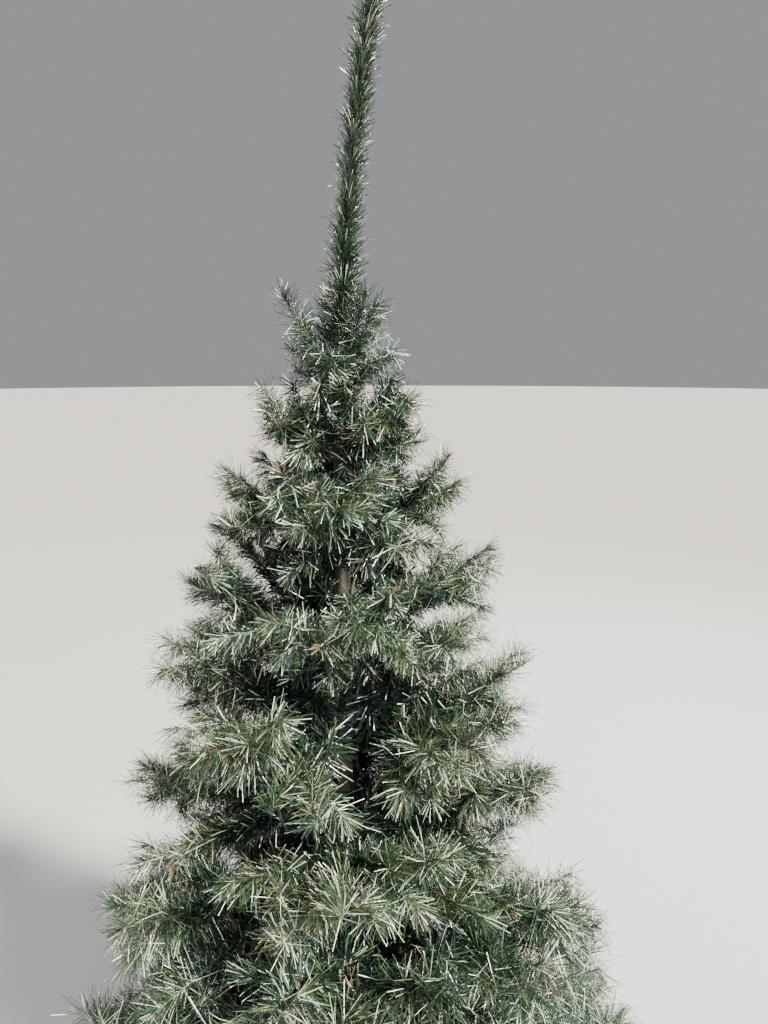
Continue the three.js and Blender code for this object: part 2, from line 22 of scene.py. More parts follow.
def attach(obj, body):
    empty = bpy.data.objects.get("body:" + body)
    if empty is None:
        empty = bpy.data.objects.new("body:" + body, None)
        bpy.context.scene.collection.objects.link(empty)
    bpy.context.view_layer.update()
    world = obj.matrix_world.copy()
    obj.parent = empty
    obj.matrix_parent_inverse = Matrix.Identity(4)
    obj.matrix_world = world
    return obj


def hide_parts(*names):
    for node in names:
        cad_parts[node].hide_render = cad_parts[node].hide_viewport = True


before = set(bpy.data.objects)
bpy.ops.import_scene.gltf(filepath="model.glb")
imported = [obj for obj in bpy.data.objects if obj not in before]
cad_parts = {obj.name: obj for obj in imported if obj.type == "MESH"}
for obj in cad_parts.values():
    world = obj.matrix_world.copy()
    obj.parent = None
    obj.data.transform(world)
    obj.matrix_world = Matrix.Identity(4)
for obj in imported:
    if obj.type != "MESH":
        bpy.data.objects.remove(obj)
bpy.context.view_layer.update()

LOG = logging.getLogger("tree")
BODY = "root"
MM = 0.001
UP = Vector((0.0, 0.0, 1.0))
RIGHT = Vector((1.0, 0.0, 0.0))

# The clearance that the source leaves between pieces.
GAP = 0.3

# One number, or many of them at once.
Numbers = float | np.ndarray

# Tells which of many points needle tips may reach.
ReachTest = Callable[[np.ndarray], np.ndarray]

# Needles as strips of film: those with a bend, and the straight ones.
Strips = tuple[list[np.ndarray], list[np.ndarray]]


# Colours, and the nodes that materials are made of.


def linear(code: str) -> tuple[float, float, float, float]:
    """Turns an sRGB hex value into a linear colour.

    Args:
        code: The colour, such as "#2c4a38".

    Returns:
        Red, green, blue and an alpha of 1, as the shaders take them.
    """
    shares = [int(code[i : i + 2], 16) / 255 for i in (1, 3, 5)]
    red, green, blue = (
        share / 12.92 if share <= 0.04045 else ((share + 0.055) / 1.055) ** 2.4 for share in shares
    )
    return red, green, blue, 1.0


def new_material(name: str) -> tuple[bpy.types.Material, bpy.types.Node]:
    """Makes a material with nothing but its shader.

    Args:
        name: The material's name.

    Returns:
        The material and its Principled shader.
    """
    material = bpy.data.materials.new(name)
    material.use_nodes = True
    shader = next(node for node in material.node_tree.nodes if node.type == "BSDF_PRINCIPLED")
    return material, shader


def add_node(
    material: bpy.types.Material,
    kind: str,
    settings: dict[str, object] | None = None,
    **inputs: object,
) -> bpy.types.Node:
    """Adds one node to a material and links what feeds it.

    Args:
        material: The material whose tree the node joins.
        kind: The node's type, such as "ShaderNodeTexNoise".
        settings: Values for the node's own properties.
        **inputs: Values or output sockets for its inputs, with _ for a space.

    Returns:
        The node.
    """
    tree = material.node_tree
    node = tree.nodes.new(kind)
    for name, value in (settings or {}).items():
        setattr(node, name, value)
    for name, value in inputs.items():
        socket = node.inputs[name.replace("_", " ")]
        if isinstance(value, bpy.types.NodeSocket):
            tree.links.new(value, socket)
        else:
            socket.default_value = value
    return node


def grain_scale(size: float) -> float:
    """Returns the texture scale that gives a pattern of this size in millimetres."""
    return 1.0 / (size * MM)


# Finishes, each named for its material and how its surface was made.


@dataclass(frozen=True)
class CutFilm:
    """PVC film, calendered and cut into strips: an even colour through, and a gloss.

    The strips lie every way, so the gloss shows as scattered glints. The colour is
    plain, and differs from spray to spray.
    """

    name: str
    colour: str
    roughness: float = 0.27
    ior: float = 1.58

    def material(self) -> bpy.types.Material:
        """Makes the film's material.

        Returns:
            The material.
        """
        made, shader = new_material(self.name)
        shader.inputs["Base Color"].default_value = linear(self.colour)
        shader.inputs["Roughness"].default_value = self.roughness
        shader.inputs["IOR"].default_value = self.ior
        return made


@dataclass(frozen=True)
class CoatedSteel:
    """Steel under a coat that is stoved, powdered, lacquered or wound on: satin.

    A faint orange peel, a millimetre or two wide, breaks up its reflections. Rubbed
    patches are paler and duller.

    Attributes:
        rubbed: The coat's colour in the rubbed patches.
        peel: The width of the orange peel.
        patch: The width of the rubbed patches.
        depth: The strength of the peel, from 0 to 1.
        relief: The height that the strength is a share of.
        rubbed_from: The noise value where the rubbing starts to show.
        rubbed_full: The noise value where it shows in full.
        glossier: How much less rough the coat is where it is whole.
        duller: How much rougher it is where it is rubbed.
    """

    name: str
    colour: str
    rubbed: str
    roughness: float
    peel: float = 1.6
    patch: float = 34.0
    depth: float = 0.12
    relief: float = 0.2
    rubbed_from: float = 0.42
    rubbed_full: float = 0.74
    glossier: float = 0.08
    duller: float = 0.14
    ior: float = 1.5

    def material(self) -> bpy.types.Material:
        """Makes the coat's material.

        Returns:
            The material.
        """
        made, shader = new_material(self.name)
        place = add_node(made, "ShaderNodeTexCoord").outputs["Object"]
        patches = add_node(
            made,
            "ShaderNodeTexNoise",
            {"label": "rubbed patches"},
            Vector=place,
            Scale=grain_scale(self.patch),
            Detail=4.0,
        )
        blend = add_node(made, "ShaderNodeValToRGB", Fac=patches.outputs["Fac"])
        whole, worn = blend.color_ramp.elements
        whole.position, worn.position = self.rubbed_from, self.rubbed_full
        whole.color, worn.color = linear(self.colour), linear(self.rubbed)
        peel = add_node(
            made,
            "ShaderNodeTexNoise",
            {"label": "orange peel"},
            Vector=place,
            Scale=grain_scale(self.peel),
            Detail=2.0,
        )
        bump = add_node(
            made,
            "ShaderNodeBump",
            Strength=self.depth,
            Distance=self.relief * MM,
            Height=peel.outputs["Fac"],
        )
        wear = add_node(
            made,
            "ShaderNodeMapRange",
            Value=patches.outputs["Fac"],
            To_Min=self.roughness - self.glossier,
            To_Max=self.roughness + self.duller,
        )
        links = made.node_tree.links
        links.new(blend.outputs["Color"], shader.inputs["Base Color"])
        links.new(wear.outputs["Result"], shader.inputs["Roughness"])
        links.new(bump.outputs["Normal"], shader.inputs["Normal"])
        shader.inputs["IOR"].default_value = self.ior
        return made


@dataclass(frozen=True)
class MouldedPolypropylene:
    """Polypropylene from a spark-eroded mould: black and waxy, with a fine even grain.

    The real grain is about a tenth of a millimetre, and is drawn as coarse as it needs
    to show.
    """

    name: str = "foot_polypropylene_moulded"
    colour: str = "#1d1f1e"
    sheen: str = "#2b2d2c"
    grain: float = 0.9
    strength: float = 0.3
    relief: float = 0.1
    roughness: float = 0.52
    ior: float = 1.49

    def material(self) -> bpy.types.Material:
        """Makes the plastic's material.

        Returns:
            The material.
        """
        made, shader = new_material(self.name)
        place = add_node(made, "ShaderNodeTexCoord").outputs["Object"]
        grain = add_node(
            made,
            "ShaderNodeTexNoise",
            {"label": "mould grain"},
            Vector=place,
            Scale=grain_scale(self.grain),
            Detail=3.0,
        )
        tone = add_node(made, "ShaderNodeValToRGB", Fac=grain.outputs["Fac"])
        tone.color_ramp.elements[0].color = linear(self.colour)
        tone.color_ramp.elements[1].color = linear(self.sheen)
        bump = add_node(
            made,
            "ShaderNodeBump",
            Strength=self.strength,
            Distance=self.relief * MM,
            Height=grain.outputs["Fac"],
        )
        made.node_tree.links.new(tone.outputs["Color"], shader.inputs["Base Color"])
        made.node_tree.links.new(bump.outputs["Normal"], shader.inputs["Normal"])
        shader.inputs["Roughness"].default_value = self.roughness
        shader.inputs["IOR"].default_value = self.ior
        return made


@dataclass(frozen=True)
class ZincPlate:
    """Zinc plated steel, barrel plated: bright, with small dull clouds."""

    name: str = "screw_steel_zinc_plated"
    bright: str = "#b8bbbe"
    dull: str = "#8f9396"
    cloud: float = 3.0
    dull_roughness: float = 0.42
    bright_roughness: float = 0.22

    def material(self) -> bpy.types.Material:
        """Makes the plating's material.

        Returns:
            The material.
        """
        made, shader = new_material(self.name)
        place = add_node(made, "ShaderNodeTexCoord").outputs["Object"]
        clouds = add_node(
            made,
            "ShaderNodeTexNoise",
            {"label": "dull clouds"},
            Vector=place,
            Scale=grain_scale(self.cloud),
            Detail=5.0,
        )
        tone = add_node(made, "ShaderNodeValToRGB", Fac=clouds.outputs["Fac"])
        tone.color_ramp.elements[0].color = linear(self.dull)
        tone.color_ramp.elements[1].color = linear(self.bright)
        haze = add_node(
            made,
            "ShaderNodeMapRange",
            Value=clouds.outputs["Fac"],
            To_Min=self.dull_roughness,
            To_Max=self.bright_roughness,
        )
        made.node_tree.links.new(tone.outputs["Color"], shader.inputs["Base Color"])
        made.node_tree.links.new(haze.outputs["Result"], shader.inputs["Roughness"])
        shader.inputs["Metallic"].default_value = 1.0
        return made


@dataclass(frozen=True)
class RolledPaint:
    """Floor paint put on with a roller: pale and matt, with no pattern of its own."""

    name: str = "floor_paint_rolled"
    colour: str = "#858380"
    roughness: float = 0.75

    def material(self) -> bpy.types.Material:
        """Makes the paint's material.

        Returns:
            The material.
        """
        made, shader = new_material(self.name)
        shader.inputs["Base Color"].default_value = linear(self.colour)
        shader.inputs["Roughness"].default_value = self.roughness
        return made


class Slot(Enum):
    """The record's material slots."""

    NEEDLES_DARK = "needles_dark"
    NEEDLES_MID = "needles_mid"
    NEEDLES_OLIVE = "needles_olive"
    BOUGH_WIRE = "bough_wire"
    POLE_PAINT = "pole_paint"
    STAND_PAINT = "stand_paint"
    FOOT_PLASTIC = "foot_plastic"
    SCREW_ZINC = "screw_zinc"


# Making meshes and putting them in the scene.


def placed(name: str, data: bpy.types.ID) -> bpy.types.Object:
    """Makes an object and puts it in the scene.

    Args:
        name: The object's name.
        data: Its mesh, camera or light.

    Returns:
        The object.
    """
    item = bpy.data.objects.new(name, data)
    bpy.context.scene.collection.objects.link(item)
    return item


def dressed(
    piece: bpy.types.Object,
    material: bpy.types.Material,
    nodes: Iterable[str] = (),
) -> None:
    """Gives a piece its material and body, and hides the solids that it stands for.

    Args:
        piece: The piece.
        material: Its material.
        nodes: The names of the solids that it replaces.
    """
    mesh = piece.data
    mesh.materials.clear()
    mesh.materials.append(material)
    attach(piece, BODY)
    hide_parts(*nodes)
    LOG.info("%s: %d triangles", piece.name, len(mesh.loops) - 2 * len(mesh.polygons))


def ring_angles(sides: int) -> list[float]:
    """Returns the angles of a ring's corners in radians."""
    return [2 * math.pi * k / sides for k in range(sides)]


def bearing_point(bearing: float, radius: float, height: float) -> Vector:
    """Returns the point at a bearing in radians, a radius and a height."""
    return Vector((radius * math.cos(bearing), radius * math.sin(bearing), height))


@dataclass
class Shape:
    """Corners and faces that gather until they are made into one mesh, in millimetres.

    Attributes:
        sharp_from: The angle in degrees from which an edge is shaded sharp.
        steep: The rise of a path that counts as upright, as the sine of its angle.
    """

    corners: list[Vector] = field(default_factory=list)
    faces: list[tuple[int, ...]] = field(default_factory=list)
    sharp_from: ClassVar[float] = 38.0
    steep: ClassVar[float] = 0.9

    def ring(self, points: Iterable[Vector]) -> list[int]:
        """Adds corners.

        Args:
            points: Their places.

        Returns:
            Their numbers.
        """
        first = len(self.corners)
        self.corners.extend(points)
        return list(range(first, len(self.corners)))

    def band(self, lower: Sequence[int], upper: Sequence[int], closed: bool = True) -> None:
        """Adds the faces between two rings of corners.

        Args:
            lower: The numbers of the first ring.
            upper: The numbers of the second ring, as many.
            closed: Whether the rings join end to end.
        """
        count = len(lower)
        for i in range(count if closed else count - 1):
            j = (i + 1) % count
            self.faces.append((lower[i], lower[j], upper[j], upper[i]))

    def loft(self, rings: Sequence[Sequence[int]]) -> None:
        """Joins rings of corners into one closed body.

        Args:
            rings: The numbers of each ring, from one end to the other.
        """
        for lower, upper in zip(rings, rings[1:]):
            self.band(lower, upper)
        self.faces.append(tuple(reversed(rings[0])))
        self.faces.append(tuple(rings[-1]))

    def tube(self, path: Sequence[Vector], radii: Sequence[float], sides: int) -> None:
        """Adds a closed tube along a path.

        Args:
            path: The points of its centre line.
            radii: Its radius at each point.
            sides: The number of its sides.
        """
        rings = []
        side = None
        for i, point in enumerate(path):
            ahead = path[min(i + 1, len(path) - 1)] - path[max(i - 1, 0)]
            ahead = ahead.normalized()
            if side is None:
                side = ahead.cross(UP if abs(ahead.z) < self.steep else RIGHT).normalized()
            side = (side - ahead * side.dot(ahead)).normalized()
            crest = ahead.cross(side)
            rings.append(
                self.ring(
                    point + (side * math.cos(angle) + crest * math.sin(angle)) * radii[i]
                    for angle in ring_angles(sides)
                )
            )
        self.loft(rings)

    def lathe(
        self, profile: Iterable[tuple[float, float]], sides: int, place: Matrix | None = None
    ) -> None:
        """Adds a turned shape about +Z.

        Args:
            profile: Pairs of radius and height, where a radius of 0 closes the shape.
            sides: The number of its sides.
            place: Where the shape goes.
        """
        place = place or Matrix.Identity(4)
        rings = []
        for radius, height in profile:
            angles = ring_angles(sides) if radius > 0 else [0.0]
            rings.append(self.ring(place @ bearing_point(a, radius, height) for a in angles))
        for lower, upper in zip(rings, rings[1:]):
            if len(lower) == 1:
                self.faces += [(lower[0], upper[(i + 1) % sides], upper[i]) for i in range(sides)]
            elif len(upper) == 1:
                self.faces += [(lower[i], lower[(i + 1) % sides], upper[0]) for i in range(sides)]
            else:
                self.band(lower, upper)

    def made(self, name: str, smooth: bool = True) -> bpy.types.Object:
        """Makes the mesh in metres.

        Args:
            name: The piece's name.
            smooth: Whether its faces are shaded smooth up to its sharp edges.

        Returns:
            The piece.
        """
        mesh = bpy.data.meshes.new(name)
        mesh.from_pydata([corner * MM for corner in self.corners], [], self.faces)
        mesh.update()
        if smooth:
            mesh.shade_smooth()
            mesh.set_sharp_from_angle(angle=math.radians(self.sharp_from))
        return placed(name, mesh)


# The films of the needles, and the zones of the tree that they are dealt out to.


class Tint(Enum):
    """The colours of film that the needles are cut from; the pale film is partly painted glint."""

    DARK = CutFilm("needle_film_bottle_green", "#09150e")
    MID = CutFilm("needle_film_fir_green", "#1b3320")
    OLIVE = CutFilm("needle_film_olive", "#404726")
    TAUPE = CutFilm("needle_film_taupe", "#4a4331")
    TEAL = CutFilm("needle_film_teal", "#243e34")
    # Pale film: partly faded film, partly a painted glint of light on the gloss.
    PALE = CutFilm("needle_film_faded_painted_glint", "#95a68c")


@dataclass(frozen=True)
class NeedleStyle:
    """How the needles of one kind of twig stand. Angles are in degrees.

    Attributes:
        density: The number of needles on a millimetre of wire.
        length: Their usual length.
        width: Their width.
        crown: The radius of the crown that they stand in, or 1 where it has no inside.
        unevenness: How far the lengths differ, as a share.
        spread: The usual angle between a needle and the wire.
        lean_sway: How far that angle differs.
        stray_share: The share of needles that stand quite otherwise.
        press: How far packing has pushed the needles over, as a share of their length.
        bent_share: The share of needles with a bend.
        bend: How strong the bend is.
        bow: How far the other needles bow.
        sag: How far every needle sinks at its tip, as a share of its length.
        twist: How far a strip turns from its base to its tip, in radians.
        tip_count: The number of needles that close the twig's end.
        tip_band: The length of wire that they stand on.
        tip_lean: The least angle of those needles.
        tip_fan: How far they fan out beyond that lean.
        tip_crowding: Under 1, more of them stand wide.
        tip_reach: How far from the end the needles start to close and shorten.
        tip_closing: The most that they close at the end, as a share of their angle.
        tip_shortening: The most that they shorten there, as a share of their length.
        foot_height: How far up the wire a wider foot reaches.
        foot_spread: How much further the needles spread at the foot.
        foot_growth: How much longer they are there, as a share.
    """

    density: float
    length: float
    width: float
    crown: float = 1.0
    unevenness: float = 0.36
    spread: float = 55.0
    lean_sway: float = 23.0
    stray_share: float = 0.3
    press: float = 0.4
    bent_share: float = 0.22
    bend: float = 0.3
    bow: float = 0.03
    sag: float = 0.05
    twist: float = 0.9
    tip_count: int = 5
    tip_band: float = 9.0
    tip_lean: float = 6.0
    tip_fan: float = 44.0
    tip_crowding: float = 0.7
    tip_reach: float = 30.0
    tip_closing: float = 0.5
    tip_shortening: float = 0.26
    foot_height: float = 175.0
    foot_spread: float = 0.0
    foot_growth: float = 0.0

    def foot_share(self, along: np.ndarray) -> np.ndarray:
        """Returns how near to the wire's foot places along it are, from 0 to 1."""
        return np.exp(-((along / self.foot_height) ** 4))

    def end_share(self, along: np.ndarray, length: float) -> np.ndarray:
        """Returns how near to the end of a wire places along it are, from 0 to 1."""
        return np.clip((along - length + self.tip_reach) / self.tip_reach, 0, 1)


@dataclass(frozen=True)
class ZoneLook:
    """The needles of one zone, and how its film is dealt out.

    Attributes:
        shares: The share of sprays that each film gets, in the order of Tint.
    """

    density: float
    length: float
    width: float
    shares: tuple[float, ...]

    def style(self, crown: float = 1.0) -> NeedleStyle:
        """Returns how the zone's needles stand in a crown of this radius."""
        return NeedleStyle(self.density, self.length, self.width, crown)


class Zone(Enum):
    """The zones of the tree from the foot up, each with its look."""

    # The larger teal shares low down are painted light: they stand in for bluish skylight on the
    # lower branches.
    FOOT = ZoneLook(3.5, 39.0, 0.9, (0.28, 0.27, 0.09, 0.03, 0.24, 0.09))
    LOWER = ZoneLook(3.75, 32.0, 0.86, (0.30, 0.27, 0.13, 0.05, 0.14, 0.11))
    MIDDLE = ZoneLook(4.5, 27.0, 0.76, (0.30, 0.26, 0.18, 0.07, 0.08, 0.11))
    UPPER = ZoneLook(5.4, 22.0, 0.68, (0.33, 0.27, 0.14, 0.06, 0.09, 0.11))
    LEADER = ZoneLook(5.4, 22.0, 0.68, (0.54, 0.24, 0.05, 0.03, 0.09, 0.05))


# The zone of each tier, from the lowest up.
TIER_ZONES = (Zone.FOOT,) * 2 + (Zone.LOWER,) * 2 + (Zone.MIDDLE,) * 2 + (Zone.UPPER,) * 3


# The rules by which the tree grows: the source's own, then those of the finer twigs.


@dataclass(frozen=True)
class Rule:
    """The source's rule, with its named sizes. Angles are in degrees.

    A sway is the most that chance adds or takes away. A place is a share of the length
    of the wire that a twig leaves.
    """

    stem_curl: float = 0.06
    stem_core: float = 4.6
    tip_needle: float = 36.0
    bare_twig: float = 10.0
    shortest_twig: float = 34.0
    growth_step: float = 4.0
    growth_steps: int = 199
    first_twig_at: float = 0.14
    last_twig_at: float = 0.7
    wide_splay: float = 48.0
    narrow_splay: float = 26.0
    twig_sweep: float = 0.00015
    bearing_sway: float = 4.0
    rise_sway: float = 1.5
    reach_share: float = 0.975
    reach_sway: float = 0.02
    place_sway: float = 0.03
    splay_sway: float = 5.0
    lift_sway: float = 4.0
    twig_share: float = 0.96
    twig_sway: float = 0.04
    branch_seed: int = 7949
    branch_stride: int = 104729
    leader_seed: int = 49979687
    wedge_clearance: float = 8.0
    level_clearance: float = 8.0
    tier_half_spacing: float = 66.0
    bough_end: float = 108.0
    bough_tiers: int = 1
    stem_wire: float = 2.1
    twig_wire: float = 1.5


@dataclass(frozen=True)
class FinerRule:
    """The rule of the finer twigs, on the stem between the others. Angles are in degrees.

    Attributes:
        fans: How much further these twigs fan out than the others, tier by tier.
        tip_growth: How far the source's own wires grow on to carry the last needles.
    """

    seed: int = 15487469
    stride: int = 32452867
    first_at: float = 0.03
    last_at: float = 0.93
    place_sway: float = 0.02
    wide_splay: float = 56.0
    narrow_splay: float = 16.0
    splay_sway: float = 12.0
    fans: tuple[float, ...] = (18.0, 18.0, 18.0, 20.0, 22.0, 26.0, 32.0, 34.0, 30.0)
    longest: float = 150.0
    shortest: float = 22.0
    share: float = 0.93
    share_sway: float = 0.06
    bend: float = 0.0026
    side_sway: float = 1.1
    sink: float = -0.85
    sink_sway: float = 0.75
    bare: float = 4.0
    wire: float = 1.1
    tip_growth: float = 8.0


@dataclass(frozen=True)
class ForkRule:
    """The rule of the forks, which leave the source's own twigs. Angles are in degrees.

    Attributes:
        shortest_parent: The least length of a twig that forks.
        further_cost: The share by which the twig counts as shorter for its second fork.
    """

    places: tuple[float, ...] = (0.34, 0.62)
    place_sway: float = 0.05
    splay: float = 26.0
    splay_sway: float = 9.0
    lift: float = -2.0
    lift_sway: float = 24.0
    longest: float = 96.0
    shortest_parent: float = 82.0
    further_cost: float = 0.4


@dataclass(frozen=True)
class InnerRule:
    """The rule of the steep short twigs near the pole. Angles are in degrees.

    Attributes:
        clearance: The room to the next tiers' border, less than 0 since they cross it.
        sinking_each: One of every so many twigs points down.
    """

    seed: int = 32416187
    places: tuple[float, ...] = (0.03, 0.06, 0.1, 0.16, 0.23)
    splay: float = 48.0
    splay_sway: float = 24.0
    lift: float = 52.0
    lift_sway: float = 14.0
    longest: float = 92.0
    share: float = 0.9
    share_sway: float = 0.1
    clearance: float = -46.0
    sinking_each: int = 4


RULE = Rule()
FINER = FinerRule()
FORK = ForkRule()
INNER = InnerRule()


@dataclass(frozen=True)
class Tier:
    """One tier of branches, as the source gives it.

    Attributes:
        height: The height of its collar.
        count: The number of its branches.
        bearing: The bearing of the first.
        reach: The radius of the crown there.
        rise: How steeply the branches rise, in degrees.
        twigs: The number of side twigs on each stem.
        fan: How far they fan out up and down, in degrees.
        bare: The length of stem that has no needles.
        tips: The number of finer twigs that the scene adds to each stem.
    """

    height: float
    count: int
    bearing: float
    reach: float
    rise: float
    twigs: int
    fan: float
    bare: float
    tips: int

    def surface(self, radius: Numbers) -> Numbers:
        """Finds the height of the tier's branches.

        Args:
            radius: The distance from the pole, or many of them.

        Returns:
            The height there, or one for each distance.
        """
        straight = (radius - Pole.collar_radius) * math.tan(math.radians(self.rise))
        curled = RULE.stem_curl * np.minimum(radius, self.reach) ** 2 / self.reach
        return self.height + straight + curled


# From the lowest tier up: height, count, bearing, reach, rise, twigs, fan, bare, tips.
TIERS: tuple[Tier, ...] = (
    Tier(270, 5, 18, 492, 7, 6, 10, 20, 13),
    Tier(400, 5, 54, 428, 9, 5, 12, 44, 12),
    Tier(530, 5, 16, 372, 11, 5, 13, 44, 11),
    Tier(660, 5, 50, 330, 12, 5, 14, 44, 10),
    Tier(790, 4, 355, 292, 14, 5, 15, 44, 11),
    Tier(920, 4, 52, 262, 18, 5, 16, 36, 10),
    Tier(1050, 4, 8, 216, 23, 5, 18, 30, 10),
    Tier(1168, 4, 355, 172, 28, 5, 20, 18, 9),
    Tier(1272, 4, 40, 128, 29, 4, 22, 12, 7),
)
LEADER_TIER = Tier(1356, 8, 20, 110, 46, 0, 0, 0, 8)


class Chance:
    """The repeatable stream of numbers from 0 to 1 that the source draws from."""

    factor: ClassVar[int] = 1664525
    step: ClassVar[int] = 1013904223
    span: ClassVar[int] = 4294967296

    def __init__(self, seed: int) -> None:
        """Starts the stream at a seed."""
        self.state = seed % self.span

    def draw(self) -> float:
        """Returns the next number."""
        self.state = (self.state * self.factor + self.step) % self.span
        return self.state / self.span

    def around(self, middle: float, spread: float) -> float:
        """Returns a number within a spread of a middle."""
        return middle + spread * (2 * self.draw() - 1)


def mix(first: float, last: float, share: Numbers) -> Numbers:
    """Returns the value a share of the way from first to last."""
    return first + (last - first) * share


@dataclass
class Twig:
    """A wire that curves a little.

    Attributes:
        heading: Its direction at its start.
        bend: How it curves, a distance for each distance squared.
        bare: The length at its start that has no needles.
        wire: The wire's radius at its start.
        taper: The share of that radius that the wire loses to its end.
    """

    start: Vector
    heading: Vector
    bend: Vector
    length: float
    bare: float
    wire: float
    taper: ClassVar[float] = 0.4

    def at(self, distance: float) -> Vector:
        """Returns the point at a distance along the wire."""
        return self.start + self.heading * distance + self.bend * distance**2

    def wire_tube(self, shape: Shape, sides: int, steps: int) -> None:
        """Adds the tapering wire to a shape.

        Args:
            shape: The shape that gathers the wires.
            sides: The number of the wire's sides.
            steps: The number of pieces that its length is cut into.
        """
        shares = [k / steps for k in range(steps + 1)]
        path = [self.at(self.length * share) for share in shares]
        shape.tube(path, [self.wire * (1 - self.taper * share) for share in shares], sides)


class Space:
    """The space of one mass: a wedge between the surfaces half-way to the next tiers."""

    def __init__(self, level: int, index: int) -> None:
        """Finds the space of a mass.

        Args:
            level: The number of its tier, from 0 at the bottom.
            index: Its number in the tier, from 0.
        """
        self.tier = TIERS[level]
        self.below = TIERS[level - 1] if level else None
        self.above = TIERS[level + 1] if level + 1 < len(TIERS) else LEADER_TIER
        self.bearing = math.radians(self.tier.bearing + 360 * index / self.tier.count)
        self.half_angle = math.pi / self.tier.count

    def floor(self, radius: Numbers) -> Numbers:
        """Finds the lowest height of the space.

        Args:
            radius: The distance from the pole, or many of them.

        Returns:
            The height there, or one for each distance.
        """
        own = self.tier.surface(radius)
        if self.below is None:
            return own - RULE.tier_half_spacing
        return (own + self.below.surface(radius)) / 2

    def ceiling(self, radius: Numbers) -> Numbers:
        """Returns the greatest height of the space at a distance from the pole."""
        return (self.tier.surface(radius) + self.above.surface(radius)) / 2

    def holds(
        self, points: np.ndarray, sideways: float, upright: float, inward: float
    ) -> np.ndarray:
        """Tells which points are inside the space.

        Args:
            points: The points, one a row.
            sideways: The clearance to the sides of the wedge.
            upright: The clearance to its floor and its ceiling.
            inward: The clearance to the pole.

        Returns:
            One truth value for each point.
        """
        x, y, z = points[..., 0], points[..., 1], points[..., 2]
        radius = np.hypot(x, y)
        turn = np.arctan2(y, x) - self.bearing
        off = np.abs(np.arctan2(np.sin(turn), np.cos(turn)))
        slack = np.clip(self.half_angle - off, -math.pi / 2, math.pi / 2)
        room = radius * np.sin(slack)
        core = np.where(z > Pole.top - Pole.collar_half, Leader.room, Pole.collar_radius)
        return (
            (room > sideways)
            & (radius > core + inward)
            & (radius < self.tier.reach)
            & (z > self.floor(radius) + upright)
            & (z < self.ceiling(radius) - upright)
        )

    def room_along(
        self, twig: Twig, crown: float, upright: float = RULE.level_clearance
    ) -> float:
        """Finds how far a twig can grow before it would leave the space or the crown.

        Args:
            twig: The twig.
            crown: The radius of the crown.
            upright: The clearance to the space's floor and its ceiling.

        Returns:
            The length that it can have.
        """
        steps = np.arange(1, RULE.growth_steps + 1) * RULE.growth_step
        start, heading, bend = (np.array(v) for v in (twig.start, twig.heading, twig.bend))
        ahead = (steps + RULE.growth_step)[:, None]
        points = start + heading * ahead + bend * ahead**2
        inside = self.holds(points, RULE.wedge_clearance, upright, RULE.level_clearance)
        inside &= np.hypot(points[:, 0], points[:, 1]) <= crown
        return float(steps[np.argmin(inside)])


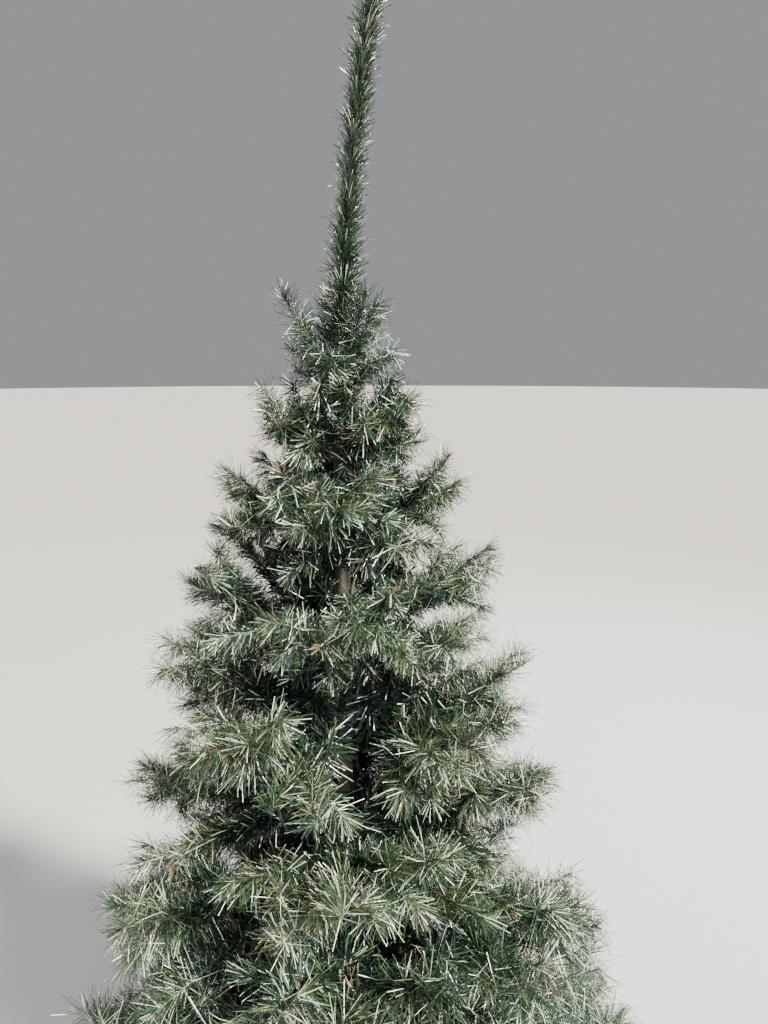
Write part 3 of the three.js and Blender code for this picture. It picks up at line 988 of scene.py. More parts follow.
@dataclass
class Branch:
    """One branch of the tree.

    Attributes:
        level: The number of its tier, from 0 at the bottom.
        index: Its number in the tier, from 0.
        crown: How far from the pole its wires may reach.
        stem: Its main wire.
        twigs: The side twigs of the source's rule.
        finer: The finer twigs between them and on them.
        inner: The steep short twigs near the pole.
    """

    level: int
    index: int
    tier: Tier = field(init=False)
    space: Space = field(init=False)
    crown: float = field(init=False)
    stem: Twig = field(init=False)
    twigs: list[Twig] = field(init=False)
    finer: list[Twig] = field(init=False)
    inner: list[Twig] = field(init=False)

    def __post_init__(self) -> None:
        """Grows the branch by the source's rule, and the finer twigs on it."""
        self.tier = TIERS[self.level]
        self.space = Space(self.level, self.index)
        chance = self.chance(RULE.branch_seed, RULE.branch_stride)
        self.grow_stem(chance)
        self.twigs = self.side_twigs(chance)
        self.finer = self.finer_twigs()
        self.inner = self.inner_twigs()
        for twig in [self.stem, *self.twigs]:
            twig.length += FINER.tip_growth

    @property
    def zone(self) -> Zone:
        """Returns the zone of the tree that the branch is in."""
        return TIER_ZONES[self.level]

    @property
    def node(self) -> str:
        """Returns the name of the mass that the branch stands for."""
        return f"foliage_tier{self.level + 1}_{self.index + 1}"

    def chance(self, seed: int, stride: int) -> Chance:
        """Returns a stream of chance of the branch's own."""
        return Chance(seed * (self.level + 1) + stride * (self.index + 1))

    def grow_stem(self, chance: Chance) -> None:
        """Grows the stem, which sets how far the branch reaches.

        Args:
            chance: The branch's stream of chance.
        """
        tier = self.tier
        bearing = self.space.bearing + math.radians(chance.around(0, RULE.bearing_sway))
        rise = math.radians(tier.rise + chance.around(0, RULE.rise_sway))
        share = chance.around(RULE.reach_share, RULE.reach_sway)
        self.crown = tier.reach * share - RULE.tip_needle
        if self.level < RULE.bough_tiers:
            root = RULE.bough_end
        else:
            root = Pole.collar_radius + GAP + RULE.stem_core * math.sin(rise)
        height = tier.height + (root - Pole.collar_radius) * math.tan(rise)
        self.stem = Twig(
            start=bearing_point(bearing, root, height),
            heading=bearing_point(bearing, math.cos(rise), math.sin(rise)),
            bend=UP * (RULE.stem_curl / tier.reach),
            length=(self.crown - root) / math.cos(rise),
            bare=tier.bare,
            wire=RULE.stem_wire,
        )

    def side_twigs(self, chance: Chance) -> list[Twig]:
        """Grows the side twigs by the source's rule.

        Args:
            chance: The branch's stream of chance.

        Returns:
            The twigs that are long enough to keep.
        """
        grown = []
        for k in range(self.tier.twigs):
            share = k / (self.tier.twigs - 1)
            hand = 1 if (k + self.index) % 2 else -1
            storey = (k + self.index) % 3 - 1
            place = mix(RULE.first_twig_at, RULE.last_twig_at, share)
            place += chance.around(0, RULE.place_sway)
            splay = mix(RULE.wide_splay, RULE.narrow_splay, share)
            splay += chance.around(0, RULE.splay_sway)
            lift = self.tier.fan * storey + chance.around(0, RULE.lift_sway)
            twig = self.side_twig(self.stem, place, hand * splay, lift)
            reach = chance.around(RULE.twig_share, RULE.twig_sway)
            twig.length = self.space.room_along(twig, self.crown) * reach
            if twig.length >= RULE.shortest_twig:
                grown.append(twig)
        return grown

    def side_twig(self, parent: Twig, place: float, splay: float, lift: float) -> Twig:
        """Starts a twig on the side of another.

        Args:
            parent: The twig that it leaves.
            place: Where it leaves, as a share of the parent's length.
            splay: The angle from the parent in degrees, to the left where positive.
            lift: The angle up in degrees.

        Returns:
            The twig, with no length yet.
        """
        flat = parent.heading.copy()
        flat.rotate(Matrix.Rotation(math.radians(splay), 3, "Z"))
        heading = (flat + UP * math.tan(math.radians(lift))).normalized()
        start = parent.at(parent.length * place)
        return Twig(start, heading, UP * RULE.twig_sweep, 0.0, RULE.bare_twig, RULE.twig_wire)

    def inner_twigs(self) -> list[Twig]:
        """Grows the steep short twigs near the pole, which fill the middle of the tree.

        Returns:
            The twigs that are long enough to keep.
        """
        chance = self.chance(INNER.seed, FINER.stride)
        grown = []
        for number, place in enumerate(INNER.places):
            hand = 1 if number % 2 else -1
            splay = hand * chance.around(INNER.splay, INNER.splay_sway)
            lift = chance.around(INNER.lift, INNER.lift_sway)
            if number % INNER.sinking_each == 0:
                lift = -lift if self.level else 0.0
            twig = self.side_twig(self.stem, place, splay, lift)
            room = self.space.room_along(twig, self.crown, INNER.clearance)
            share = chance.around(INNER.share, INNER.share_sway)
            self.keep_finer(grown, twig, min(room, INNER.longest) * share)
        return grown

    def finer_twigs(self) -> list[Twig]:
        """Grows the finer twigs, on the stem between the others and as forks of those.

        Returns:
            The twigs that are long enough to keep.
        """
        chance = self.chance(FINER.seed, FINER.stride)
        started = [(twig, FINER.longest) for twig in self.started_between(chance)]
        started += [(twig, FORK.longest) for twig in self.started_forks(chance)]
        grown = []
        for twig, longest in started:
            sway = [chance.around(0, FINER.side_sway), chance.around(0, FINER.side_sway)]
            sway.append(chance.around(FINER.sink, FINER.sink_sway))
            twig.bend = Vector(sway) * FINER.bend
            room = self.space.room_along(twig, self.crown)
            share = chance.around(FINER.share, FINER.share_sway)
            self.keep_finer(grown, twig, min(room, longest) * share)
        return grown

    def started_between(self, chance: Chance) -> list[Twig]:
        """Starts the finer twigs on the stem.

        Args:
            chance: The stream of chance of the finer twigs.

        Returns:
            The twigs, with no length yet.
        """
        started = []
        for k in range(self.tier.tips):
            share = k / (self.tier.tips - 1)
            hand = 1 if (k // 2 + k) % 2 else -1
            place = mix(FINER.first_at, FINER.last_at, share)
            place += chance.around(0, FINER.place_sway)
            splay = mix(FINER.wide_splay, FINER.narrow_splay, share)
            splay += chance.around(0, FINER.splay_sway)
            lift = chance.around(0, self.tier.fan + FINER.fans[self.level])
            started.append(self.side_twig(self.stem, place, hand * splay, lift))
        return started

    def started_forks(self, chance: Chance) -> list[Twig]:
        """Starts the forks on the side twigs that are long enough.

        Args:
            chance: The stream of chance of the finer twigs.

        Returns:
            The twigs, with no length yet.
        """
        started = []
        for twig in self.twigs:
            for number, place in enumerate(FORK.places):
                if twig.length * (1 - FORK.further_cost * number) < FORK.shortest_parent:
                    continue
                hand = 1 if number % 2 else -1
                splay = hand * chance.around(FORK.splay, FORK.splay_sway)
                lift = chance.around(FORK.lift, FORK.lift_sway)
                place += chance.around(0, FORK.place_sway)
                started.append(self.side_twig(twig, place, splay, lift))
        return started

    @staticmethod
    def keep_finer(grown: list[Twig], twig: Twig, length: float) -> None:
        """Ends a finer twig, and keeps it if it is long enough.

        Args:
            grown: The twigs that are kept.
            twig: The twig.
            length: Its length.
        """
        twig.length = length
        twig.bare = FINER.bare
        twig.wire = FINER.wire
        if length >= FINER.shortest:
            grown.append(twig)


# The needles, which are strips of film set round every twig.


def unit(rows: np.ndarray, least: float = 0.0) -> np.ndarray:
    """Scales directions to a length of 1.

    Args:
        rows: The directions, along the last axis.
        least: A small length that keeps a direction of none from dividing by 0.

    Returns:
        The scaled directions.
    """
    return rows / (np.linalg.norm(rows, axis=-1, keepdims=True) + least)


def anywhere(points: np.ndarray) -> np.ndarray:
    """Tells that needle tips may reach every point."""
    return np.ones(len(points), dtype=bool)


@dataclass
class NeedleField:
    """All the needles of the tree, gathered by zone and colour of film.

    Attributes:
        fewest: The least number of needles along a twig.
        spray: The number of needles in a spray.
        golden_turn: The turn from one needle to the next round the wire, in radians.
        turn_sway: How far that turn differs.
        root_share: Where in the wire a needle starts, as a share of its radius.
        upright_below: The level part of a wire's direction below which it is upright.
        tries: How often a needle that leaves its space is shortened.
        shrink: What it keeps of its length each time.
        shortest: The share of its length below which it is left out.
        outer_from: Where the inside of the crown ends, as a share of its radius.
        inner_share: The share of needles that the very middle keeps.
        inner_breadth: How much broader the needles are there.
        inner_painted_shade: How readily they take the darkest film, as painted shade deep in the
            crown.
        stray_tint: The share of needles that differ from their spray.
        stations: Places along a strip from base to tip, with its breadth at each.
        least: A length so small that only a direction of none feels it.
        length: The length of wire that has needles.
    """

    seed: int
    fewest: int = 4
    spray: int = 6
    golden_turn: float = 2.39996
    turn_sway: float = 0.8
    root_share: float = 0.6
    upright_below: float = 0.1
    tries: int = 6
    shrink: float = 0.84
    shortest: float = 0.34
    outer_from: float = 0.72
    inner_share: float = 0.74
    inner_breadth: float = 2.4
    inner_painted_shade: float = 1.4
    stray_tint: float = 0.35
    stations: tuple[tuple[float, float], ...] = ((0.0, 0.8), (0.5, 1.0), (1.0, 0.72))
    least: float = 1e-9
    rng: np.random.Generator = field(init=False)
    strips: dict[tuple[Zone, Tint], Strips] = field(default_factory=dict)
    length: float = 0.0

    def __post_init__(self) -> None:
        """Starts the stream of chance."""
        self.rng = np.random.default_rng(self.seed)

    def brush(self, twig: Twig, style: NeedleStyle, zone: Zone, holds: ReachTest) -> None:
        """Sets the needles round one twig.

        Args:
            twig: The twig.
            style: How its needles stand.
            zone: The zone of the tree whose colours it takes.
            holds: Tells which points the needle tips may reach.
        """
        self.length += twig.length - twig.bare
        along = self.places(twig, style)
        count = len(along)
        turn = np.arange(count) * self.golden_turn + self.rng.normal(0, self.turn_sway, count)
        lean = self.leans(twig, style, along)
        size = self.sizes(twig, style, along)
        way, out = self.ways(twig, style, along, turn, lean)
        start, heading, bend = (np.array(v) for v in (twig.start, twig.heading, twig.bend))
        base = start + heading * along[:, None] + bend * (along**2)[:, None]
        base = base + out * twig.wire * self.root_share
        sag, bent = self.sags(way, style)
        share, keep = self.fitted(base, way + sag, size, holds)
        depth = np.hypot(base[:, 0], base[:, 1]) / style.crown
        inside = np.clip(1 - depth / self.outer_from, 0, 1)
        keep &= self.rng.random(count) < mix(1.0, self.inner_share, inside)
        breadth = style.width / 2 * (1 + self.inner_breadth * inside)
        strips = self.cut(base, way, sag, size * share, breadth, style.twist)
        dealt = self.dealt(zone, inside)
        for number, tint in enumerate(Tint):
            chosen = keep & (dealt == number)
            with_bend, straight = self.strips.setdefault((zone, tint), ([], []))
            with_bend.append(strips[chosen & bent])
            # A straight strip does without its middle pair of points.
            straight.append(strips[chosen & ~bent][:, [0, 1, 4, 5]])

    def places(self, twig: Twig, style: NeedleStyle) -> np.ndarray:
        """Spaces needles along a twig.

        Args:
            twig: The twig.
            style: How its needles stand.

        Returns:
            The distance of each from the twig's start, those of its end last.
        """
        length = twig.length - twig.bare
        count = max(int(style.density * length), self.fewest)
        evenly = (np.arange(count) + self.rng.random(count)) / count
        at_end = twig.length - style.tip_band * self.rng.random(style.tip_count)
        return np.concatenate([twig.bare + length * evenly, at_end])

    def leans(self, twig: Twig, style: NeedleStyle, along: np.ndarray) -> np.ndarray:
        """Finds how far the needles lean out from the wire.

        Args:
            twig: The twig.
            style: How its needles stand.
            along: The distance of each from the twig's start.

        Returns:
            The angle of each in radians.
        """
        rng, count = self.rng, len(along)
        end = style.end_share(along, twig.length)
        lean = style.spread + style.foot_spread * style.foot_share(along)
        lean = lean + rng.normal(0, style.lean_sway, count)
        strays = rng.random(count) < style.stray_share
        lean += strays * rng.normal(0, 2 * style.lean_sway, count)
        lean = np.radians(lean * (1 - style.tip_closing * end**2 * rng.random(count)))
        fan = style.tip_fan * rng.random(style.tip_count) ** style.tip_crowding
        lean[-style.tip_count :] = np.radians(style.tip_lean + fan)
        return lean

    def sizes(self, twig: Twig, style: NeedleStyle, along: np.ndarray) -> np.ndarray:
        """Finds the needles' lengths.

        Args:
            twig: The twig.
            style: How its needles stand.
            along: The distance of each from the twig's start.

        Returns:
            The length of each.
        """
        rng, count = self.rng, len(along)
        end = style.end_share(along, twig.length)
        swell = 1 + style.foot_growth * style.foot_share(along)
        size = style.length * (1 + style.unevenness * (2 * rng.random(count) - 1))
        return size * ((1 - style.tip_shortening * end * rng.random(count)) * swell)

    def ways(
        self,
        twig: Twig,
        style: NeedleStyle,
        along: np.ndarray,
        turn: np.ndarray,
        lean: np.ndarray,
    ) -> tuple[np.ndarray, np.ndarray]:
        """Turns the needles' angles into directions, and presses the sprays over.

        Args:
            twig: The twig.
            style: How its needles stand.
            along: The distance of each from the twig's start.
            turn: The angle of each round the wire, in radians.
            lean: The angle of each from the wire, in radians.

        Returns:
            The direction of each needle, and the direction straight out from the wire.
        """
        count = len(along)
        heading, bend = np.array(twig.heading), np.array(twig.bend)
        upright = math.hypot(heading[0], heading[1]) < self.upright_below
        across = np.cross(np.array(RIGHT if upright else UP), heading)
        across /= np.linalg.norm(across)
        crest = np.cross(heading, across)
        axis = unit(heading + 2 * bend * along[:, None])
        out = across * np.cos(turn)[:, None] + crest * np.sin(turn)[:, None]
        way = axis * np.cos(lean)[:, None] + out * np.sin(lean)[:, None]
        pressed = self.rng.normal(0, style.press, (count // self.spray + 1, 3))
        pressed = np.repeat(pressed, self.spray, axis=0)[:count]
        return unit(way + (pressed + self.rng.normal(0, style.press, 3))), out

    def sags(self, way: np.ndarray, style: NeedleStyle) -> tuple[np.ndarray, np.ndarray]:
        """Finds how far the needles leave a straight line.

        Args:
            way: The direction of each needle.
            style: How the needles stand.

        Returns:
            How far the tip of each goes aside, as a share of its length, and which
            needles have a bend.
        """
        rng, count = self.rng, len(way)
        loose = rng.normal(0, 1, (count, 3))
        loose -= way * np.sum(loose * way, axis=1)[:, None]
        loose = unit(loose, self.least)
        bent = rng.random(count) < style.bent_share
        curve = rng.normal(0, style.bend, count) * bent + rng.normal(0, style.bow, count)
        return loose * curve[:, None] + np.array([0, 0, -style.sag]), bent

    def fitted(
        self, base: np.ndarray, reach: np.ndarray, size: np.ndarray, holds: ReachTest
    ) -> tuple[np.ndarray, np.ndarray]:
        """Shortens the needles that leave their space.

        Args:
            base: Where each needle starts.
            reach: Where its tip is from there, as a share of its length.
            size: The length of each.
            holds: Tells which points the tips may reach.

        Returns:
            The share of its length that each keeps, and which needles stay.
        """
        share = np.ones(len(size))
        for _ in range(self.tries):
            outside = ~holds(base + reach * (size * share)[:, None])
            if not outside.any():
                break
            share[outside] *= self.shrink
        held = holds(base + reach * (size * share)[:, None])
        return share, held & (share > self.shortest)

    def cut(
        self,
        base: np.ndarray,
        way: np.ndarray,
        sag: np.ndarray,
        size: np.ndarray,
        breadth: np.ndarray,
        twist: float,
    ) -> np.ndarray:
        """Cuts the needles as strips that turn a little from base to tip.

        Args:
            base: Where each needle starts.
            way: Its direction.
            sag: How far its tip goes aside, as a share of its length.
            size: Its length.
            breadth: Half its width.
            twist: How far the strips turn, in radians.

        Returns:
            One strip a needle, as rows of pairs of edge points.
        """
        flat = unit(np.cross(way, self.rng.normal(0, 1, (len(way), 3))), self.least)
        other = np.cross(way, flat)
        turn = self.rng.normal(0, twist, len(way))
        rows = []
        for part, share in self.stations:
            centre = base + (way * part + sag * part**2) * size[:, None]
            edge = flat * np.cos(turn * part)[:, None] + other * np.sin(turn * part)[:, None]
            edge *= (breadth * share)[:, None]
            rows += [centre - edge, centre + edge]
        return np.stack(rows, axis=1)

    def dealt(self, zone: Zone, inside: np.ndarray) -> np.ndarray:
        """Deals film out to the needles, spray by spray, with painted shade deep in the crown.

        Args:
            zone: The zone of the tree.
            inside: How deep in the crown each needle is, from 0 to 1.

        Returns:
            The number of the film that each needle is cut from, in the order of Tint.
        """
        rng, count = self.rng, len(inside)
        shares = zone.value.shares
        odds = np.array(shares) / sum(shares)
        sprays = rng.choice(len(odds), size=count // self.spray + 1, p=odds)
        dealt = np.repeat(sprays, self.spray)[:count]
        stray = rng.random(count) < self.stray_tint
        dealt[stray] = rng.choice(len(odds), size=int(stray.sum()), p=odds)
        # Painted shade: the deeper a needle lies in the crown, the likelier it takes the darkest
        # film.
        dealt[rng.random(count) < self.inner_painted_shade * inside] = 0
        return dealt

    def made(self) -> dict[tuple[Zone, Tint], bpy.types.Object]:
        """Makes one mesh for each zone and film.

        Returns:
            The pieces, by zone and film.
        """
        return {
            (zone, tint): strip_mesh(
                f"needles_{tint.name.lower()}_{zone.name.lower()}",
                [np.concatenate(part) for part in parts],
            )
            for (zone, tint), parts in self.strips.items()
        }


def strip_mesh(name: str, parts: Sequence[np.ndarray]) -> bpy.types.Object:
    """Makes one mesh of many strips.

    Args:
        name: The piece's name.
        parts: Arrays of strips, each strip as rows of pairs of edge points, in
            millimetres. The strips of one array have as many points.

    Returns:
        The piece.
    """
    places, loops, first = [], [], 0
    for strips in parts:
        count, corners = strips.shape[:2]
        places.append(strips.reshape(-1, 3))
        start = first + (np.arange(count) * corners)[:, None, None]
        step = (np.arange(corners // 2 - 1) * 2)[None, :, None]
        loops.append((start + step + np.array([0, 1, 3, 2])).ravel())
        first += count * corners
    corners_of_faces = np.concatenate(loops).astype(np.int32)
    quads = len(corners_of_faces) // 4
    mesh = bpy.data.meshes.new(name)
    mesh.vertices.add(first)
    mesh.vertices.foreach_set("co", (np.concatenate(places) * MM).astype(np.float32).ravel())
    mesh.loops.add(4 * quads)
    mesh.loops.foreach_set("vertex_index", corners_of_faces)
    mesh.polygons.add(quads)
    mesh.polygons.foreach_set("loop_start", np.arange(quads, dtype=np.int32) * 4)
    mesh.polygons.foreach_set("use_smooth", np.ones(quads, dtype=bool))
    mesh.update(calc_edges=True)
    normals = np.concatenate([curled_normals(strips) for strips in parts])
    mesh.normals_split_custom_set_from_vertices(normals)
    return placed(name, mesh)


def curled_normals(strips: np.ndarray, curl: float = 14.0, least: float = 1e-12) -> np.ndarray:
    """Finds normals that make flat strips look curled lengthwise.

    Args:
        strips: The strips, each as rows of pairs of edge points.
        curl: How far the normals lean out at each edge, in degrees.
        least: A length so small that only a direction of none feels it.

    Returns:
        One normal for each point.
    """
    left, right = strips[:, 0::2], strips[:, 1::2]
    across = unit(right - left, least)
    along = np.diff(left + right, axis=1)
    along = np.concatenate([along, along[:, -1:]], axis=1)
    facing = unit(np.cross(across, along), least)
    lean = math.radians(curl)
    sides = [facing * math.cos(lean) + sign * across * math.sin(lean) for sign in (-1, 1)]
    return np.stack(sides, axis=2).reshape(-1, 3)


# The leader and the crown.


@dataclass(frozen=True)
class TwigRing:
    """One ring of short twigs round the leader's foot.

    Attributes:
        turned: How far it is turned, as a share of the angle between its twigs.
        drop: How far below the leader's tier it starts.
        rise_sway: How far the twigs' rise differs, in degrees.
        share: The share of the tier's reach that they have.
    """

    turned: float
    drop: float
    rise_sway: float
    share: float


@dataclass
class Leader:
    """The bottle brush that ends the tree, with short twigs round its foot.

    Attributes:
        room: The radius round it that the top tier's needles leave free.
        lean: How it curves to one side.
        top: The height of its tip, with its needles.
        skirt: How much further the needles spread at its foot.
        skirt_height: How far up that reaches.
        skirt_growth: How much longer the needles at its foot are.
        steeper: How much steeper every other short twig rises.
        flatter: How much flatter the rest of them do.
        slack: How far needles may cross the border to the top tier.
    """

    room: ClassVar[float] = 31.0
    lean: float = 0.00019
    top: float = 1800.0
    wire: float = 2.4
    bare: float = 4.0
    density: float = 17.0
    needle: float = 20.0
    needle_width: float = 1.05
    spread: float = 36.0
    lean_sway: float = 12.0
    press: float = 0.12
    tip_count: int = 30
    skirt: float = 16.0
    skirt_height: float = 175.0
    skirt_growth: float = 0.45
    steeper: float = 5.0
    flatter: float = 20.0
    twig_wire: float = 1.3
    slack: float = 1.6
    rings: tuple[TwigRing, ...] = (
        TwigRing(turned=0.0, drop=0.0, rise_sway=3.0, share=0.9),
        TwigRing(turned=0.5, drop=8.0, rise_sway=9.0, share=0.78),
    )

    def stem(self) -> Twig:
        """Makes the leader's own wire.

        Returns:
            The wire.
        """
        start = Vector((0, 0, Pole.top + GAP))
        length = self.top - self.needle - start.z
        return Twig(start, UP.copy(), RIGHT * self.lean, length, self.bare, self.wire)

    def twigs(self) -> list[Twig]:
        """Grows the short twigs by the source's rule, then finer ones between them.

        Returns:
            The twigs.
        """
        tier = LEADER_TIER
        chance = Chance(RULE.leader_seed)
        grown = []
        for ring, count in zip(self.rings, (tier.count, tier.tips)):
            for k in range(count):
                bearing = tier.bearing + 360 * (k + ring.turned) / count
                bearing = math.radians(bearing + chance.around(0, 2 * RULE.bearing_sway))
                turn = -self.flatter if k % 2 else self.steeper
                rise = math.radians(tier.rise + turn + chance.around(0, ring.rise_sway))
                reach = (tier.reach - RULE.tip_needle) / math.cos(rise)
                length = reach * chance.around(RULE.twig_share, RULE.twig_sway)
                grown.append(
                    Twig(
                        start=Vector((0, 0, tier.height - ring.drop)),
                        heading=bearing_point(bearing, math.cos(rise), math.sin(rise)),
                        bend=UP * (RULE.stem_curl / tier.reach),
                        length=length * ring.share,
                        bare=RULE.bare_twig,
                        wire=self.twig_wire,
                    )
                )
        return grown

    def holds(self, points: np.ndarray) -> np.ndarray:
        """Tells which points stay above the space of the top tier.

        Args:
            points: The points, one a row.

        Returns:
            One truth value for each point.
        """
        radius = np.hypot(points[:, 0], points[:, 1])
        border = (LEADER_TIER.surface(radius) + TIERS[-1].surface(radius)) / 2
        return (radius < self.room - self.slack) | (points[:, 2] > border + self.slack)

    def style(self) -> NeedleStyle:
        """Gives the look of the needles on the leader's own wire.

        Returns:
            How they stand.
        """
        return NeedleStyle(
            density=self.density,
            length=self.needle,
            width=self.needle_width,
            spread=self.spread,
            lean_sway=self.lean_sway,
            press=self.press,
            tip_count=self.tip_count,
            foot_height=self.skirt_height,
            foot_spread=self.skirt,
            foot_growth=self.skirt_growth,
        )


@dataclass
class Bough:
    """The stem of one branch, with the ferrule that holds it to the collar.

    Attributes:
        root_gap: How far from the collar's face the stem starts.
        crimp: Places along the ferrule, with the share of its radius at each.
    """

    branch: Branch
    root_gap: float = 1.2
    root_radius: float = 3.6
    tip_radius: float = 1.5
    steps: int = 16
    sides: int = 7
    ferrule_radius: float = 5.0
    ferrule_length: float = 15.0
    ferrule_sides: int = 12
    crimp: tuple[tuple[float, float], ...] = (
        (0.0, 0.9),
        (0.12, 1.0),
        (0.5, 1.0),
        (0.62, 0.9),
        (0.8, 0.98),
        (1.0, 0.84),
    )

    def shape(self, boughs: Shape) -> None:
        """Adds the bough and its ferrule to a shape.

        Args:
            boughs: The shape that gathers the boughs.
        """
        stem = self.branch.stem
        flat = math.hypot(stem.heading.x, stem.heading.y)
        start = math.hypot(stem.start.x, stem.start.y)
        back = (start - Pole.collar_radius - self.root_gap) / flat
        shares = [k / self.steps for k in range(self.steps + 1)]
        places = [mix(-back, stem.length, share) for share in shares]
        path = [stem.at(max(place, 0)) + stem.heading * min(place, 0) for place in places]
        boughs.tube(
            path, [mix(self.root_radius, self.tip_radius, share) for share in shares], self.sides
        )
        boughs.tube(
            [path[0] + stem.heading * (self.ferrule_length * share) for share, _ in self.crimp],
            [self.ferrule_radius * size for _, size in self.crimp],
            self.ferrule_sides,
        )


@dataclass
class Crown:
    """The branches and the leader, with their wires and needles.

    Attributes:
        needle_slack: The clearance of needle tips, less than 0 since they may stray a
            little out of their branch's space.
        brown_spread: How far the brown strips stray from the twig's direction.
        brown_band: The length of twig that they start on.
        brown_ahead: How far beyond the twig's end they start at most.
        brown_least: The least share of the usual length that they have.
        brown_more: How much more than that they may have.
    """

    seed: int = 86028121
    needle_slack: float = -9.0
    twig_sides: int = 4
    twig_steps: int = 3
    skirt_steps: int = 5
    leader_sides: int = 8
    leader_steps: int = 24
    brown_share: float = 0.2
    brown_strips: int = 7
    brown_length: float = 10.0
    brown_width: float = 1.3
    brown_spread: float = 0.45
    brown_band: float = 6.0
    brown_ahead: float = 2.0
    brown_least: float = 0.6
    brown_more: float = 0.5

    def build(self) -> None:
        """Grows the crown and makes its pieces."""
        branches = [
            Branch(level, index) for level, tier in enumerate(TIERS) for index in range(tier.count)
        ]
        leader = Leader()
        needles = NeedleField(self.seed)
        for branch in branches:
            self.brush_branch(needles, branch)
        needles.brush(leader.stem(), leader.style(), Zone.LEADER, anywhere)
        style = Zone.LEADER.value.style()
        for twig in leader.twigs():
            needles.brush(twig, style, Zone.LEADER, leader.holds)
        LOG.info("brush length %.1f m", needles.length * MM)
        self.dress_needles(needles, branches)
        self.build_wires(branches, leader)

    def brush_branch(self, needles: NeedleField, branch: Branch) -> None:
        """Sets the needles round the wires of one branch.

        Args:
            needles: The needles of the tree.
            branch: The branch.
        """
        style = branch.zone.value.style(branch.tier.reach)
        holds = self.reach_test(branch.space, self.needle_slack)
        for twig in [branch.stem, *branch.twigs, *branch.finer]:
            needles.brush(twig, style, branch.zone, holds)
        holds = self.reach_test(branch.space, INNER.clearance)
        for twig in branch.inner:
            needles.brush(twig, style, branch.zone, holds)

    def reach_test(self, space: Space, upright: float) -> ReachTest:
        """Makes the test that lets needles stray a little into the next space.

        Args:
            space: The space of the needles' branch.
            upright: The clearance to its floor and its ceiling.

        Returns:
            The test, which takes points and gives a truth value for each.
        """

        def test(points: np.ndarray) -> np.ndarray:
            """Tells which needle tips are within reach."""
            return space.holds(points, self.needle_slack, upright, self.needle_slack)

        return test

    def dress_needles(self, needles: NeedleField, branches: Sequence[Branch]) -> None:
        """Makes the needle pieces and gives them their films.

        Args:
            needles: The needles of the tree.
            branches: Its branches.
        """
        materials = {tint: tint.value.material() for tint in Tint}
        nodes: dict[Zone, list[str]] = {zone: [] for zone in Zone}
        nodes[Zone.LEADER].append("leader")
        for branch in branches:
            nodes[branch.zone].append(branch.node)
        for (zone, tint), piece in needles.made().items():
            dressed(piece, materials[tint], nodes[zone])

    def build_wires(self, branches: Sequence[Branch], leader: Leader) -> None:
        """Makes the wires of the stems and twigs.

        Args:
            branches: The branches.
            leader: The leader.
        """
        lacquer = CoatedSteel(
            "wire_steel_lacquered", "#2a2118", "#41342a", 0.5, peel=0.8, patch=9.0
        )
        wound = CoatedSteel(
            "twig_wire_film_wound", "#2a3a2c", "#4a4a33", 0.55, peel=0.8, patch=7.0
        )
        boughs = Shape()
        twigs = Shape()
        for branch in branches:
            Bough(branch).shape(boughs)
            for twig in branch.twigs + branch.finer + branch.inner:
                twig.wire_tube(twigs, self.twig_sides, self.twig_steps)
        leader.stem().wire_tube(boughs, self.leader_sides, self.leader_steps)
        for twig in leader.twigs():
            twig.wire_tube(twigs, self.twig_sides, self.skirt_steps)
        self.brown_ends([twig for branch in branches for twig in branch.twigs + branch.finer])
        names = [f"bough_tier1_{k + 1}" for k in range(TIERS[0].count)]
        dressed(boughs.made("bough_wires"), lacquer.material(), names)
        dressed(twigs.made("twig_wires"), wound.material())

    def brown_ends(self, twigs: Iterable[Twig]) -> None:
        """Makes the short brown strips that stand out at the ends of some twigs.

        Args:
            twigs: The twigs that may have them.
        """
        rng = np.random.default_rng(self.seed + 1)
        count = self.brown_strips
        strips = []
        for twig in twigs:
            if rng.random() > self.brown_share:
                continue
            end = np.array(twig.at(twig.length + self.brown_ahead))
            ahead = np.array(twig.heading + 2 * twig.bend * twig.length)
            stray = rng.normal(0, self.brown_spread, (count, 3))
            way = unit(ahead / np.linalg.norm(ahead) + stray)
            flat = np.cross(way, rng.normal(0, 1, (count, 3)))
            flat *= (0.5 * self.brown_width / np.linalg.norm(flat, axis=1))[:, None]
            base = end - self.brown_band * rng.random((count, 1)) * ahead
            size = self.brown_least + self.brown_more * rng.random((count, 1))
            tip = base + way * (self.brown_length * size)
            strips.append(np.stack([base - flat, base + flat, tip - flat, tip + flat], axis=1))
        piece = strip_mesh("twig_ends_brown", [np.concatenate(strips)])
        film = CutFilm("twig_end_film_brown", "#5d4330", 0.45)
        dressed(piece, film.material())


# The pole and its collars.


